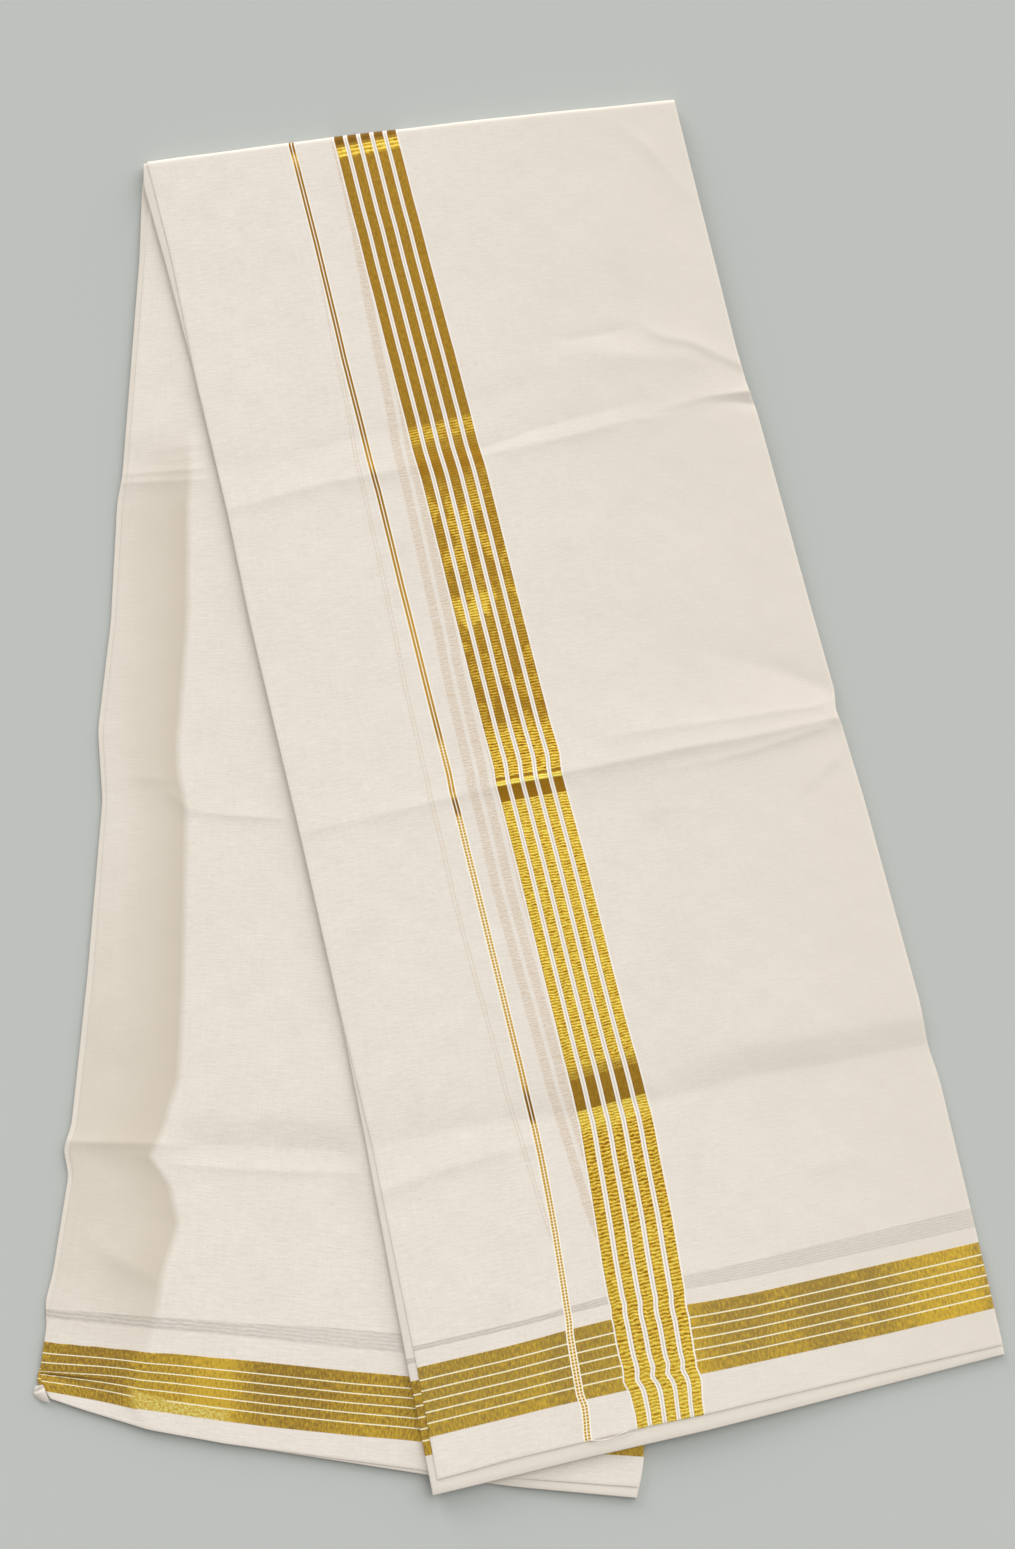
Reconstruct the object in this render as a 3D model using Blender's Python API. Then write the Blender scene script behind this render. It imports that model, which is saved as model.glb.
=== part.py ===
"""A dhoti cloth, folded and laid flat.

The cloth is folded in three across its width, which makes a strip, and the strip is folded once over a
straight top fold. Its two halves, the front fall and the rear fall, fan apart on the surface they lie on.
Each fall is two solids: a thin face ply, and the hidden plies under it as one solid that is layered at its
edges. Lengths are in metres, +Z is up, and the origin is at the middle of the underside. The top fold lies
at +Y, and both falls run down towards -Y. Tables give millimetres, which MM turns to metres.
"""

import math
from collections import namedtuple

import bmesh
import bpy
from mathutils import Vector

MM = 0.001

# The cloth and its plies
CLOTH_WIDTH = 1.27                  # selvedge to selvedge
STRIP = CLOTH_WIDTH / 3             # the width folded in three
FACE_PLY = 1.2 * MM                 # wall of a face ply
GAP = 0.3 * MM                      # between two solids that touch
REAR_PLIES = 3.2 * MM               # height of the hidden plies of the rear fall
FRONT_PLIES = 3.0 * MM              # height of the hidden plies of the front fall

REAR_TOP = REAR_PLIES + GAP + FACE_PLY
STACK = REAR_TOP + GAP + FRONT_PLIES + GAP + FACE_PLY
ROLL_RADIUS = STACK / 2             # the top fold turns round the whole stack
HEAD_INSET = 1.8 * MM               # the hidden plies stop short of the rolled fold

# The top fold, and how the front fall comes down beside the rear fall
TOP_LEFT = Vector((-0.2957, 0.4873))
TOP_SLOPE = math.radians(7.1)
HEAD_BOW = 2.8 * MM                 # the top fold bows out this much at its middle
DRAPE_START = 20 * MM               # past the rear fall's right edge
DRAPE_END = 110 * MM

# How finely a fall is divided
SECTION_STEP = 32 * MM              # between two sections away from the creases
COLUMNS = 16                        # panels across a section
EDGE_COLUMN = 7 * MM                # width of the first and last panel
ROLL_STEPS = 7                      # sections round the top fold
ROLL_END = math.radians(168)        # where the rolled ply stops under the fold

# An edge leaves the top fold at a lean from -Y towards +X. Its rows give, at a share of its length, how
# far the face ply and the hidden plies stand out from the straight line, in mm.
Edge = namedtuple("Edge", "lean length rows")
EdgeRow = namedtuple("EdgeRow", "share face hidden")

# A crease crosses a fall from a share of its left edge to a share of its right edge. It rises, or sinks
# where negative, by so many mm at its left end, middle and right end, over a half width on each side.
Crease = namedtuple("Crease", "left right rise_left rise_middle rise_right half_width")

# The cut end's rows give, at a share of the width, how far the plies hang past the straight line, in mm.
EndRow = namedtuple("EndRow", "share face hidden")

Fall = namedtuple("Fall", "left right creases end")

FRONT = Fall(
    left=Edge(
        math.radians(13.16),
        1.034,
        (
            EdgeRow(0.000, 0.0, 3.0),
            EdgeRow(0.015, -0.8, 6.2),
            EdgeRow(0.080, -2.6, 2.5),
            EdgeRow(0.180, -1.0, -1.6),
            EdgeRow(0.284, -2.6, -3.4),
            EdgeRow(0.370, -1.4, -2.4),
            EdgeRow(0.532, -3.7, -4.4),
            EdgeRow(0.670, -4.5, -4.6),
            EdgeRow(0.762, -6.0, -2.2),
            EdgeRow(0.920, -3.2, 3.2),
            EdgeRow(1.000, 0.0, 5.2),
        ),
    ),
    right=Edge(
        math.radians(13.30),
        0.995,
        (
            EdgeRow(0.000, 0.0, -1.2),
            EdgeRow(0.210, -2.2, -3.2),
            EdgeRow(0.243, -1.3, -2.6),
            EdgeRow(0.262, 1.0, -0.6),
            EdgeRow(0.420, 3.1, 2.1),
            EdgeRow(0.495, 4.6, 3.4),
            EdgeRow(0.508, 1.3, 0.2),
            EdgeRow(0.521, 3.4, 2.4),
            EdgeRow(0.580, 5.6, 4.6),
            EdgeRow(0.740, 7.3, 6.2),
            EdgeRow(0.773, 5.2, 4.2),
            EdgeRow(0.800, 7.2, 6.2),
            EdgeRow(0.900, 4.9, 4.0),
            EdgeRow(1.000, 2.2, 1.4),
        ),
    ),
    creases=(
        Crease(0.284, 0.255, -0.9, -1.1, -0.7, 14),
        Crease(0.532, 0.508, -0.8, -1.2, 2.6, 13),
        Crease(0.762, 0.773, -0.8, -1.3, -1.4, 15),
    ),
    end=(
        EndRow(0.00, 1.0, 10.8),
        EndRow(0.13, -1.3, 10.2),
        EndRow(0.27, -1.8, 9.2),
        EndRow(0.37, -2.6, 9.2),
        EndRow(0.48, -1.7, 9.2),
        EndRow(0.60, -2.0, 8.4),
        EndRow(0.80, -2.3, 6.7),
        EndRow(1.00, -2.2, 4.4),
    ),
)

REAR = Fall(
    left=Edge(
        math.radians(-3.43),
        0.950,
        (
            EdgeRow(0.000, -3.0, 3.0),
            EdgeRow(0.020, -3.2, 3.4),
            EdgeRow(0.080, -3.6, 0.6),
            EdgeRow(0.268, -4.6, -1.1),
            EdgeRow(0.290, -3.0, 1.1),
            EdgeRow(0.390, -5.4, -2.2),
            EdgeRow(0.480, -3.4, 0.2),
            EdgeRow(0.537, -11.0, -8.0),
            EdgeRow(0.680, -12.4, -8.3),
            EdgeRow(0.795, -10.2, -6.3),
            EdgeRow(0.814, -5.8, -2.0),
            EdgeRow(0.833, -10.8, -7.4),
            EdgeRow(0.910, -6.8, -3.2),
            EdgeRow(0.950, -3.2, -0.2),
            EdgeRow(1.000, 2.0, 4.4),
        ),
    ),
    right=Edge(
        math.radians(-2.09),
        1.067,
        (
            EdgeRow(0.000, 0.0, -1.0),
            EdgeRow(0.960, 3.0, 2.0),
            EdgeRow(0.985, 3.8, 2.6),
            EdgeRow(1.000, 0.2, -1.0),
        ),
    ),
    creases=(
        Crease(0.268, 0.289, 1.2, 0.8, 0.0, 13),
        Crease(0.537, 0.558, -1.0, -0.8, 0.0, 13),
        Crease(0.814, 0.800, 1.6, 1.0, 0.0, 14),
    ),
    end=(
        EndRow(0.00, 3.0, 1.0),
        EndRow(0.06, 7.4, 5.6),
        EndRow(0.17, 13.7, 12.2),
        EndRow(0.30, 15.0, 14.6),
        EndRow(0.66, 11.6, 14.2),
        EndRow(0.80, 6.9, 12.8),
        EndRow(1.00, 0.0, 7.4),
    ),
)

# One hidden ply of the rear fall stops short of the left edge, and the plies over it step down there:
# its fold, as a share of the fall and in mm from the left edge.
StepRow = namedtuple("StepRow", "share inset")
STEP_ROWS = (
    StepRow(0.28, 50),
    StepRow(0.42, 65),
    StepRow(0.61, 73),
    StepRow(0.78, 75),
    StepRow(0.81, 68),
    StepRow(0.87, 82),
    StepRow(1.00, 84),
)
STEP_DEPTH = 1.4 * MM
STEP_WIDTH = 45 * MM
STEP_START = 0.22                   # share of the fall where the step begins
STEP_FULL = 0.30                    # and where it has its depth

# The rear fall's creases and step fade out before the front fall covers them.
COVER_FLAT = 18 * MM
COVER_FREE = 42 * MM

# The rear face ply curls up at the outer corner of its end.
CURL_RISE = 3.2 * MM
CURL_REACH = 55 * MM

END_PULL = 14                       # the shape of a fold or a cut end dies away along its fall by this power
SHARED = "shared"                   # a cloth point that the face ply and the hidden plies share

# Rims: a share of the solid's height against how far it stands out from its edge, in mm.
RimRow = namedtuple("RimRow", "height out")
PLY_RIM = (RimRow(0.25, 0.45), RimRow(0.75, 0.45))
LAYERED_RIM = (
    RimRow(0.08, 0.5),
    RimRow(0.26, 0.9),
    RimRow(0.44, 0.3),
    RimRow(0.50, -0.9),
    RimRow(0.56, 0.3),
    RimRow(0.74, 0.9),
    RimRow(0.92, 0.5),
)

SHARP_ANGLE = math.radians(50)      # a steeper turn than this is shaded as an edge

# Finish of each solid: colour, roughness
Finish = namedtuple("Finish", "name colour roughness")
FACE_COTTON = Finish("bleached_cotton_face", (0.80, 0.75, 0.67, 1.0), 0.85)
HIDDEN_COTTON = Finish("bleached_cotton_hidden", (0.70, 0.65, 0.57, 1.0), 0.88)


def clear_scene():
    """Remove whatever the scene holds."""
    for thing in list(bpy.data.objects):
        bpy.data.objects.remove(thing, do_unlink=True)


def blend(first, last, share):
    """A value between two, straight."""
    return first + (last - first) * share


def ease(share):
    """0 to 1 with a soft start and a soft end."""
    share = min(max(share, 0.0), 1.0)
    return share * share * (3.0 - 2.0 * share)


def read_rows(rows, share, column):
    """The value of a table's column at a share, straight between its rows."""
    before = rows[0]
    for row in rows:
        if row.share >= share:
            span = row.share - before.share
            part = (share - before.share) / span if span else 0.0
            return blend(getattr(before, column), getattr(row, column), part)
        before = row
    return getattr(before, column)


def along(lean):
    """The direction in which an edge runs down the cloth."""
    return Vector((math.sin(lean), -math.cos(lean)))


def fold_direction():
    """The direction of the top fold, from its left end to its right end."""
    return Vector((math.cos(TOP_SLOPE), math.sin(TOP_SLOPE)))


def fold_outward():
    """The direction in which the rolled fold faces."""
    return Vector((-math.sin(TOP_SLOPE), math.cos(TOP_SLOPE)))


def fold_ends():
    """Both ends of the line about which the top fold turns."""
    left = TOP_LEFT - fold_outward() * ROLL_RADIUS
    return left, left + fold_direction() * STRIP


def read_ply(rows, share, ply):
    """How far the face ply or the hidden plies stand out, or the less of the two where they share it."""
    if ply == SHARED:
        return min(read_rows(rows, share, "face"), read_rows(rows, share, "hidden")) * MM
    return read_rows(rows, share, ply) * MM


def edge_point(start, edge, share, ply, side):
    """A point of a fall's edge; side is -1 for the left edge and +1 for the right one."""
    run = along(edge.lean)
    outward = Vector((-run.y, run.x)) * side
    return start + run * edge.length * share + outward * read_ply(edge.rows, share, ply)


def plan_point(fall, across, line, ply):
    """The place of a cloth point seen from above, for a share across and a section line.

    The face ply and the hidden plies share all their points but those of their outlines.
    """
    left_start, right_start = fold_ends()
    left = edge_point(left_start, fall.left, line[0], ply if across == 0.0 else SHARED, -1)
    right = edge_point(right_start, fall.right, line[1], ply if across == 1.0 else SHARED, 1)
    share = blend(line[0], line[1], across)
    hang = read_ply(fall.end, across, ply if share == 1.0 else SHARED) * share ** END_PULL
    run = along(blend(fall.left.lean, fall.right.lean, across))
    bow = HEAD_BOW * math.sin(math.pi * across) * (1.0 - share) ** END_PULL
    return left.lerp(right, across) + run * hang + fold_outward() * bow


def section_lines(fall, inset):
    """Section lines down a fall, as shares of its left and right edges, close together at the creases.

    The first line stands in from the top fold by a share of the fall.
    """
    anchors = [(0.0, 0.0)]
    anchors += [(crease.left, crease.right) for crease in fall.creases]
    anchors.append((1.0, 1.0))
    widths = [crease.half_width * MM for crease in fall.creases]
    margins = [widths[0]] + widths + [widths[-1]]
    length = (fall.left.length + fall.right.length) / 2
    lines = []
    for index in range(len(anchors) - 1):
        upper = anchors[index]
        lower = anchors[index + 1]
        span = length * (lower[0] + lower[1] - upper[0] - upper[1]) / 2
        first = margins[index] / span
        last = 1.0 - margins[index + 1] / span
        panels = math.ceil((last - first) * span / SECTION_STEP)
        lines.append(upper)
        for step in range(panels + 1):
            part = blend(first, last, step / panels)
            lines.append((blend(upper[0], lower[0], part), blend(upper[1], lower[1], part)))
    lines.append(anchors[-1])
    lines[0] = (inset, inset)
    return lines


def columns_across():
    """Shares across a section: a narrow panel at each edge and even ones between."""
    narrow = EDGE_COLUMN / STRIP
    inner = COLUMNS - 2
    shares = [0.0]
    shares += [blend(narrow, 1.0 - narrow, step / inner) for step in range(inner + 1)]
    shares.append(1.0)
    return shares


def crease_rise(fall, across, line):
    """Height that the creases add at a point of a fall."""
    length = (fall.left.length + fall.right.length) / 2
    rise = 0.0
    for crease in fall.creases:
        left_off = line[0] - crease.left
        right_off = line[1] - crease.right
        distance = abs(blend(left_off, right_off, across)) * length
        near = ease(1.0 - distance / (crease.half_width * MM))
        if across < 0.5:
            height = blend(crease.rise_left, crease.rise_middle, across * 2)
        else:
            height = blend(crease.rise_middle, crease.rise_right, across * 2 - 1)
        rise += near * height * MM
    return rise


def step_fall(across, line):
    """How far the rear plies step down beside the hidden ply that stops short of the left edge."""
    share = line[0]
    inset = read_rows(STEP_ROWS, max(share, STEP_ROWS[0].share), "inset") * MM
    past = inset - across * STRIP
    started = ease((share - STEP_START) / (STEP_FULL - STEP_START))
    return STEP_DEPTH * started * ease(past / STEP_WIDTH)


def cover_freedom(point):
    """0 where the front fall covers the rear fall, 1 where the rear fall lies free."""
    run = along(FRONT.left.lean)
    leftward = Vector((run.y, -run.x))
    clear = (point - fold_ends()[0]).dot(leftward)
    return ease((clear - COVER_FLAT) / (COVER_FREE - COVER_FLAT))


def rear_relief(across, line, point):
    """Height that creases and the step give to the rear fall."""
    relief = crease_rise(REAR, across, line) - step_fall(across, line)
    return relief * cover_freedom(point)


def corner_curl(point):
    """Height that the curled corner adds to the rear face ply."""
    corner = plan_point(REAR, 0.0, (1.0, 1.0), "face")
    near = max(0.0, 1.0 - (point - corner).length / CURL_REACH)
    return CURL_RISE * near * near


def rear_right_distance(point):
    """How far a point lies outside the rear fall's right edge."""
    start = fold_ends()[1]
    run = along(REAR.right.lean)
    return (point - start).dot(Vector((-run.y, run.x)))


def rest_height(point):
    """Height of what the front fall lies on: the rear fall, and beside it the floor."""
    outside = rear_right_distance(point)
    return (REAR_TOP + GAP) * (1.0 - ease((outside - DRAPE_START) / (DRAPE_END - DRAPE_START)))


def raised(point, height):
    """A plan point at a height."""
    return Vector((point.x, point.y, height))


def rear_layers_grids():
    """Upper and lower points of the rear fall's hidden plies."""
    upper = []
    lower = []
    for line in section_lines(REAR, HEAD_INSET / REAR.left.length):
        plan = [plan_point(REAR, across, line, "hidden") for across in columns_across()]
        relief = [rear_relief(across, line, point) for across, point in zip(columns_across(), plan)]
        upper.append([raised(point, REAR_PLIES + rise) for point, rise in zip(plan, relief)])
        lower.append([raised(point, 0.0) for point in plan])
    return upper, lower


def rear_face_grids():
    """Upper and lower points of the rear fall's face ply, which lies on its hidden plies."""
    upper = []
    lower = []
    for line in section_lines(REAR, HEAD_INSET / REAR.left.length):
        upper_row = []
        lower_row = []
        for across in columns_across():
            point = plan_point(REAR, across, line, "face")
            height = REAR_PLIES + GAP + rear_relief(across, line, point) + corner_curl(point)
            lower_row.append(raised(point, height))
            upper_row.append(raised(point, height + FACE_PLY))
        upper.append(upper_row)
        lower.append(lower_row)
    return upper, lower


def front_layers_grids():
    """Upper and lower points of the front fall's hidden plies."""
    upper = []
    lower = []
    for line in section_lines(FRONT, HEAD_INSET / FRONT.left.length):
        upper_row = []
        lower_row = []
        for across in columns_across():
            point = plan_point(FRONT, across, line, "hidden")
            height = rest_height(point)
            lower_row.append(raised(point, height))
            upper_row.append(raised(point, height + FRONT_PLIES + crease_rise(FRONT, across, line)))
        upper.append(upper_row)
        lower.append(lower_row)
    return upper, lower


def roll_grids(plan):
    """Outer and inner points of the top fold, from its lower end up to the flat cloth."""
    outer = []
    inner = []
    for step in range(ROLL_STEPS, 0, -1):
        angle = ROLL_END * step / ROLL_STEPS
        turned = fold_outward() * math.sin(angle)
        lift = math.cos(angle)
        inner_radius = ROLL_RADIUS - FACE_PLY
        outer.append([
            raised(point + turned * ROLL_RADIUS, ROLL_RADIUS * (1.0 + lift)) for point in plan
        ])
        inner.append([
            raised(point + turned * inner_radius, ROLL_RADIUS + inner_radius * lift) for point in plan
        ])
    return outer, inner


def front_face_grids():
    """Upper and lower points of the front fall's face ply, with the rolled fold at its head."""
    head = [plan_point(FRONT, across, (0.0, 0.0), "face") for across in columns_across()]
    upper, lower = roll_grids(head)
    for line in section_lines(FRONT, 0.0):
        upper_row = []
        lower_row = []
        for across in columns_across():
            point = plan_point(FRONT, across, line, "face")
            height = rest_height(point) + FRONT_PLIES + GAP + crease_rise(FRONT, across, line)
            lower_row.append(raised(point, height))
            upper_row.append(raised(point, height + FACE_PLY))
        upper.append(upper_row)
        lower.append(lower_row)
    return upper, lower


def rim_loop(grid):
    """Grid places round the rim, and for each the inner place that it faces away from."""
    last_row = len(grid) - 1
    last_column = len(grid[0]) - 1
    loop = [(row, 0) for row in range(last_row)]
    loop += [(last_row, column) for column in range(last_column)]
    loop += [(row, last_column) for row in range(last_row, 0, -1)]
    loop += [(0, column) for column in range(last_column, 0, -1)]
    inner = [
        (min(max(row, 1), last_row - 1), min(max(column, 1), last_column - 1)) for row, column in loop
    ]
    return loop, inner


def rim_outward(grid, place, inner_place):
    """Unit direction that leaves the cloth at a place of its rim."""
    edge_point_here = grid[place[0]][place[1]]
    outward = Vector((0.0, 0.0, 0.0))
    if place[0] != inner_place[0]:
        outward += (edge_point_here - grid[inner_place[0]][place[1]]).normalized()
    if place[1] != inner_place[1]:
        outward += (edge_point_here - grid[place[0]][inner_place[1]]).normalized()
    return outward


def solid_from_grids(name, upper, lower, rim, finish, flat_below=False):
    """One closed solid between an upper and a lower grid, with a shaped rim all round."""
    mesh = bpy.data.meshes.new(name)
    build = bmesh.new()
    upper_points = [[build.verts.new(point) for point in row] for row in upper]
    loop, inner = rim_loop(upper)
    if flat_below:
        lower_loop = [build.verts.new(lower[row][column]) for row, column in loop]
        build.faces.new(lower_loop[::-1])
    else:
        lower_points = [[build.verts.new(point) for point in row] for row in lower]
        lower_loop = [lower_points[row][column] for row, column in loop]
        grid_faces(build, lower_points, True)
    grid_faces(build, upper_points, False)

    rings = [lower_loop]
    for row in rim:
        ring = []
        for place, inner_place in zip(loop, inner):
            low = lower[place[0]][place[1]]
            high = upper[place[0]][place[1]]
            outward = rim_outward(upper, place, inner_place)
            ring.append(build.verts.new(low.lerp(high, row.height) + outward * row.out * MM))
        rings.append(ring)
    rings.append([upper_points[row][column] for row, column in loop])
    for below, above in zip(rings, rings[1:]):
        for index in range(len(loop)):
            after = (index + 1) % len(loop)
            build.faces.new((below[index], below[after], above[after], above[index]))

    bmesh.ops.recalc_face_normals(build, faces=build.faces)
    build.to_mesh(mesh)
    build.free()
    mesh.shade_smooth()
    mesh.set_sharp_from_angle(angle=SHARP_ANGLE)
    piece = bpy.data.objects.new(name, mesh)
    bpy.context.scene.collection.objects.link(piece)
    mesh.materials.append(finish)
    return piece


def grid_faces(build, points, downward):
    """Triangles over a grid of vertices, split along the same diagonal on both sides of the cloth."""
    for row in range(len(points) - 1):
        for column in range(len(points[0]) - 1):
            start = points[row][column]
            across = points[row][column + 1]
            down = points[row + 1][column]
            opposite = points[row + 1][column + 1]
            for triangle in ((start, down, opposite), (start, opposite, across)):
                build.faces.new(triangle[::-1] if downward else triangle)


def cotton(finish):
    """A woven cotton finish."""
    material = bpy.data.materials.new(finish.name)
    material.use_nodes = True
    shader = material.node_tree.nodes["Principled BSDF"]
    shader.inputs["Base Color"].default_value = finish.colour
    shader.inputs["Roughness"].default_value = finish.roughness
    shader.inputs["Metallic"].default_value = 0.0
    material.diffuse_color = finish.colour
    return material


def build_dhoti():
    """Build the four solids of the folded dhoti."""
    clear_scene()
    face = cotton(FACE_COTTON)
    hidden = cotton(HIDDEN_COTTON)
    solid_from_grids("rear_fall_layers", *rear_layers_grids(), LAYERED_RIM, hidden, flat_below=True)
    solid_from_grids("rear_fall_face", *rear_face_grids(), PLY_RIM, face)
    solid_from_grids("front_fall_layers", *front_layers_grids(), LAYERED_RIM, hidden)
    solid_from_grids("front_fall_face", *front_face_grids(), PLY_RIM, face)


build_dhoti()
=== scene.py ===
# %% [markdown]
# # A folded dhoti
#
# A dhoti is one long cotton cloth, here 1.27 m wide and 2.03 m long. It is folded in three across its
# width, which makes a strip, and the strip is folded once over a straight top fold. The two halves, the
# front fall and the rear fall, fan apart a little on the surface they lie on.
#
# The solids of this part come first, as a fixed frame. They say where each ply lies. Everything after
# that is cloth: thin sheets that follow the solids, with their creases, woven stripes and gold bands.

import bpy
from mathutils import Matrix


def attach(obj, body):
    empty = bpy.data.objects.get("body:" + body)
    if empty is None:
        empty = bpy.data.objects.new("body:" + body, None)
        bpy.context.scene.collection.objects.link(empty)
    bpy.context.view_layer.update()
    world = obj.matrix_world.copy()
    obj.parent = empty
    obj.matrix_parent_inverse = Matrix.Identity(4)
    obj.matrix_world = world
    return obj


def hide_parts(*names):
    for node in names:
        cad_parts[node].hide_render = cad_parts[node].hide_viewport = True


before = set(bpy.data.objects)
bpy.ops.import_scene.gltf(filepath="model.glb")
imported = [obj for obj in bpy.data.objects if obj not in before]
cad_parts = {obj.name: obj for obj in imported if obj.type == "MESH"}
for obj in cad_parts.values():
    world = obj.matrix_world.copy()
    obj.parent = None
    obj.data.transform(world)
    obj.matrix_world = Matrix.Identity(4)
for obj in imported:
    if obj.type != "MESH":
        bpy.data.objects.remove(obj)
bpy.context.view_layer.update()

# %% Tools
import math
from collections import namedtuple

import bpy
import numpy as np
from mathutils import Vector

MM = 0.001

# %% [markdown]
# ## The camera
#
# The cloth is seen from almost straight above: the camera stands 1.6 m away and leans back by 8.26
# degrees. A lens of 48.5 mm on a 36 mm sensor gives the field of view. The camera comes first, because
# it says which surfaces show and how fine their detail has to be: one pixel is about 0.8 mm of cloth.

# %% Camera
CAMERA_DISTANCE = 1.6
CAMERA_LEAN = math.radians(8.26)
LOOK_AT = Vector((-0.0087, -0.0062, 0.0))
LENS_LENGTH = 48.49
SENSOR_WIDTH = 36.0

camera_data = bpy.data.cameras.new("camera")
camera_data.lens = LENS_LENGTH
camera_data.sensor_width = SENSOR_WIDTH
camera = bpy.data.objects.new("camera", camera_data)
bpy.context.scene.collection.objects.link(camera)
step_back = Vector((0.0, -math.sin(CAMERA_LEAN), math.cos(CAMERA_LEAN)))
camera.location = LOOK_AT + step_back * CAMERA_DISTANCE
camera.rotation_euler = (CAMERA_LEAN, 0.0, 0.0)
bpy.context.scene.camera = camera
print("camera at", tuple(round(value, 3) for value in camera.location))

# %% [markdown]
# ## Where the cloth lies
#
# Each fall is a strip between a left edge and a right edge. An edge leaves the top fold at a lean, and a
# short table says how far it stands out from a straight line, in millimetres, because a hand-folded edge
# is never straight. A second table does the same for the cut end. These are the sizes of the solids, so
# the sheets land exactly on them.

# %% The strip and its top fold
STRIP = 1.27 / 3                    # width of the folded strip
TOP_LEFT = np.array((-0.2957, 0.4873))
TOP_SLOPE = math.radians(7.1)
HEAD_BOW = 2.8 * MM                 # how far the top fold bows out in its middle
ROLL_RADIUS = 4.75 * MM

fold_outward = np.array((-math.sin(TOP_SLOPE), math.cos(TOP_SLOPE)))
fold_direction = np.array((math.cos(TOP_SLOPE), math.sin(TOP_SLOPE)))
fold_left = TOP_LEFT - fold_outward * ROLL_RADIUS
fold_right = fold_left + fold_direction * STRIP
print("top fold from", fold_left.round(4), "to", fold_right.round(4))

# %% Outline of the front fall
# An edge has its lean and length, the share of the length that each stand-out belongs to, and the
# stand-outs of the face ply and of the hidden plies. The cut end has the same by shares across.
Edge = namedtuple("Edge", "lean length share face hidden")
End = namedtuple("End", "share face hidden")
Fall = namedtuple("Fall", "left right end")

FRONT = Fall(
    left=Edge(
        lean=math.radians(13.16),
        length=1.034,
        share=(0, 0.015, 0.08, 0.18, 0.284, 0.37, 0.532, 0.67, 0.762, 0.92, 1),
        face=(0, -0.8, -2.6, -1.0, -2.6, -1.4, -3.7, -4.5, -6.0, -3.2, 0),
        hidden=(3.0, 6.2, 2.5, -1.6, -3.4, -2.4, -4.4, -4.6, -2.2, 3.2, 5.2),
    ),
    right=Edge(
        lean=math.radians(13.30),
        length=0.995,
        share=(0, 0.21, 0.243, 0.262, 0.42, 0.495, 0.508, 0.521, 0.58, 0.74, 0.773, 0.80, 0.90, 1),
        face=(0, -2.2, -1.3, 1.0, 3.1, 4.6, 1.3, 3.4, 5.6, 7.3, 5.2, 7.2, 4.9, 2.2),
        hidden=(-1.2, -3.2, -2.6, -0.6, 2.1, 3.4, 0.2, 2.4, 4.6, 6.2, 4.2, 6.2, 4.0, 1.4),
    ),
    end=End(
        share=(0, 0.13, 0.27, 0.37, 0.48, 0.60, 0.80, 1),
        face=(1, -1.3, -1.8, -2.6, -1.7, -2.0, -2.3, -2.2),
        hidden=(10.8, 10.2, 9.2, 9.2, 9.2, 8.4, 6.7, 4.4),
    ),
)
print("the front fall fans out to", round(math.degrees(FRONT.left.lean), 1), "degrees")

# %% Outline of the rear fall
REAR = Fall(
    left=Edge(
        lean=math.radians(-3.43),
        length=0.950,
        share=(0, 0.02, 0.08, 0.268, 0.29, 0.39, 0.48, 0.537, 0.68, 0.795,
               0.814, 0.833, 0.91, 0.93, 0.948, 0.975, 0.985, 0.992, 1),
        face=(-3, -3.2, -3.6, -4.6, -3.0, -5.4, -3.4, -11, -12.4, -10.2,
              -5.8, -10.8, -5.2, -2.4, -0.8, 0.9, 0.9, -1.8, -8.0),
        hidden=(3, 3.4, 0.6, -1.1, 1.1, -2.2, 0.2, -8, -8.3, -6.3,
                -2.0, -7.4, -2.2, 1.4, -0.9, -0.8, 2.6, 2.8, -7.0),
    ),
    right=Edge(
        lean=math.radians(-2.09),
        length=1.067,
        share=(0, 0.96, 0.985, 1),
        face=(0, 3.0, 3.8, 0.2),
        hidden=(-1, 2.0, 2.6, -1),
    ),
    end=End(
        share=(0, 0.06, 0.17, 0.30, 0.66, 0.80, 1),
        face=(3, 7.4, 13.7, 15.0, 11.6, 6.9, 0),
        hidden=(1, 5.6, 12.2, 14.6, 14.2, 12.8, 7.4),
    ),
)

print("the rear fall fans out to", round(math.degrees(REAR.left.lean), 1), "degrees")

# %% Reading a table with soft corners
TABLE_SAMPLES = 1501


def soft_table(where, places, values, softness):
    """Values of a table at many places, with its corners rounded over a share of its length."""
    fine = np.linspace(places[0], places[-1], TABLE_SAMPLES)
    reach = softness / (fine[1] - fine[0])
    span = int(3 * reach) + 1
    weights = np.exp(-0.5 * (np.arange(-span, span + 1) / reach) ** 2)
    padded = np.pad(np.interp(fine, places, values), span, mode="reflect", reflect_type="odd")
    return np.interp(where, fine, np.convolve(padded, weights / weights.sum(), "valid"))


def ease(share):
    """0 to 1 with a soft start and a soft end."""
    share = np.clip(share, 0.0, 1.0)
    return share * share * (3.0 - 2.0 * share)


def run_of(lean):
    """Direction in which cloth at this lean runs down, as x and y."""
    return np.stack((np.sin(lean), -np.cos(lean)), axis=-1)


print("a corner of 10 rounds to", soft_table(0.5, (0, 0.5, 1), (0, 10, 0), 0.01).round(2))

# %% [markdown]
# ## From cloth to place
#
# A ply is a grid. Its columns go from the left edge to the right one, and its rows go down the fall. The
# rows lean so that each main crease runs along a row: a crease that crosses a grid at an angle would show
# as small stairs. Rows stand close together at the creases and wider between them.

# %% Plan of a fall
EDGE_SOFTNESS = 0.0035              # how round the corners of the two tables get, as shares
END_SOFTNESS = 0.01
END_PULL = 14                       # how suddenly the cut end's own shape begins


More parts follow.
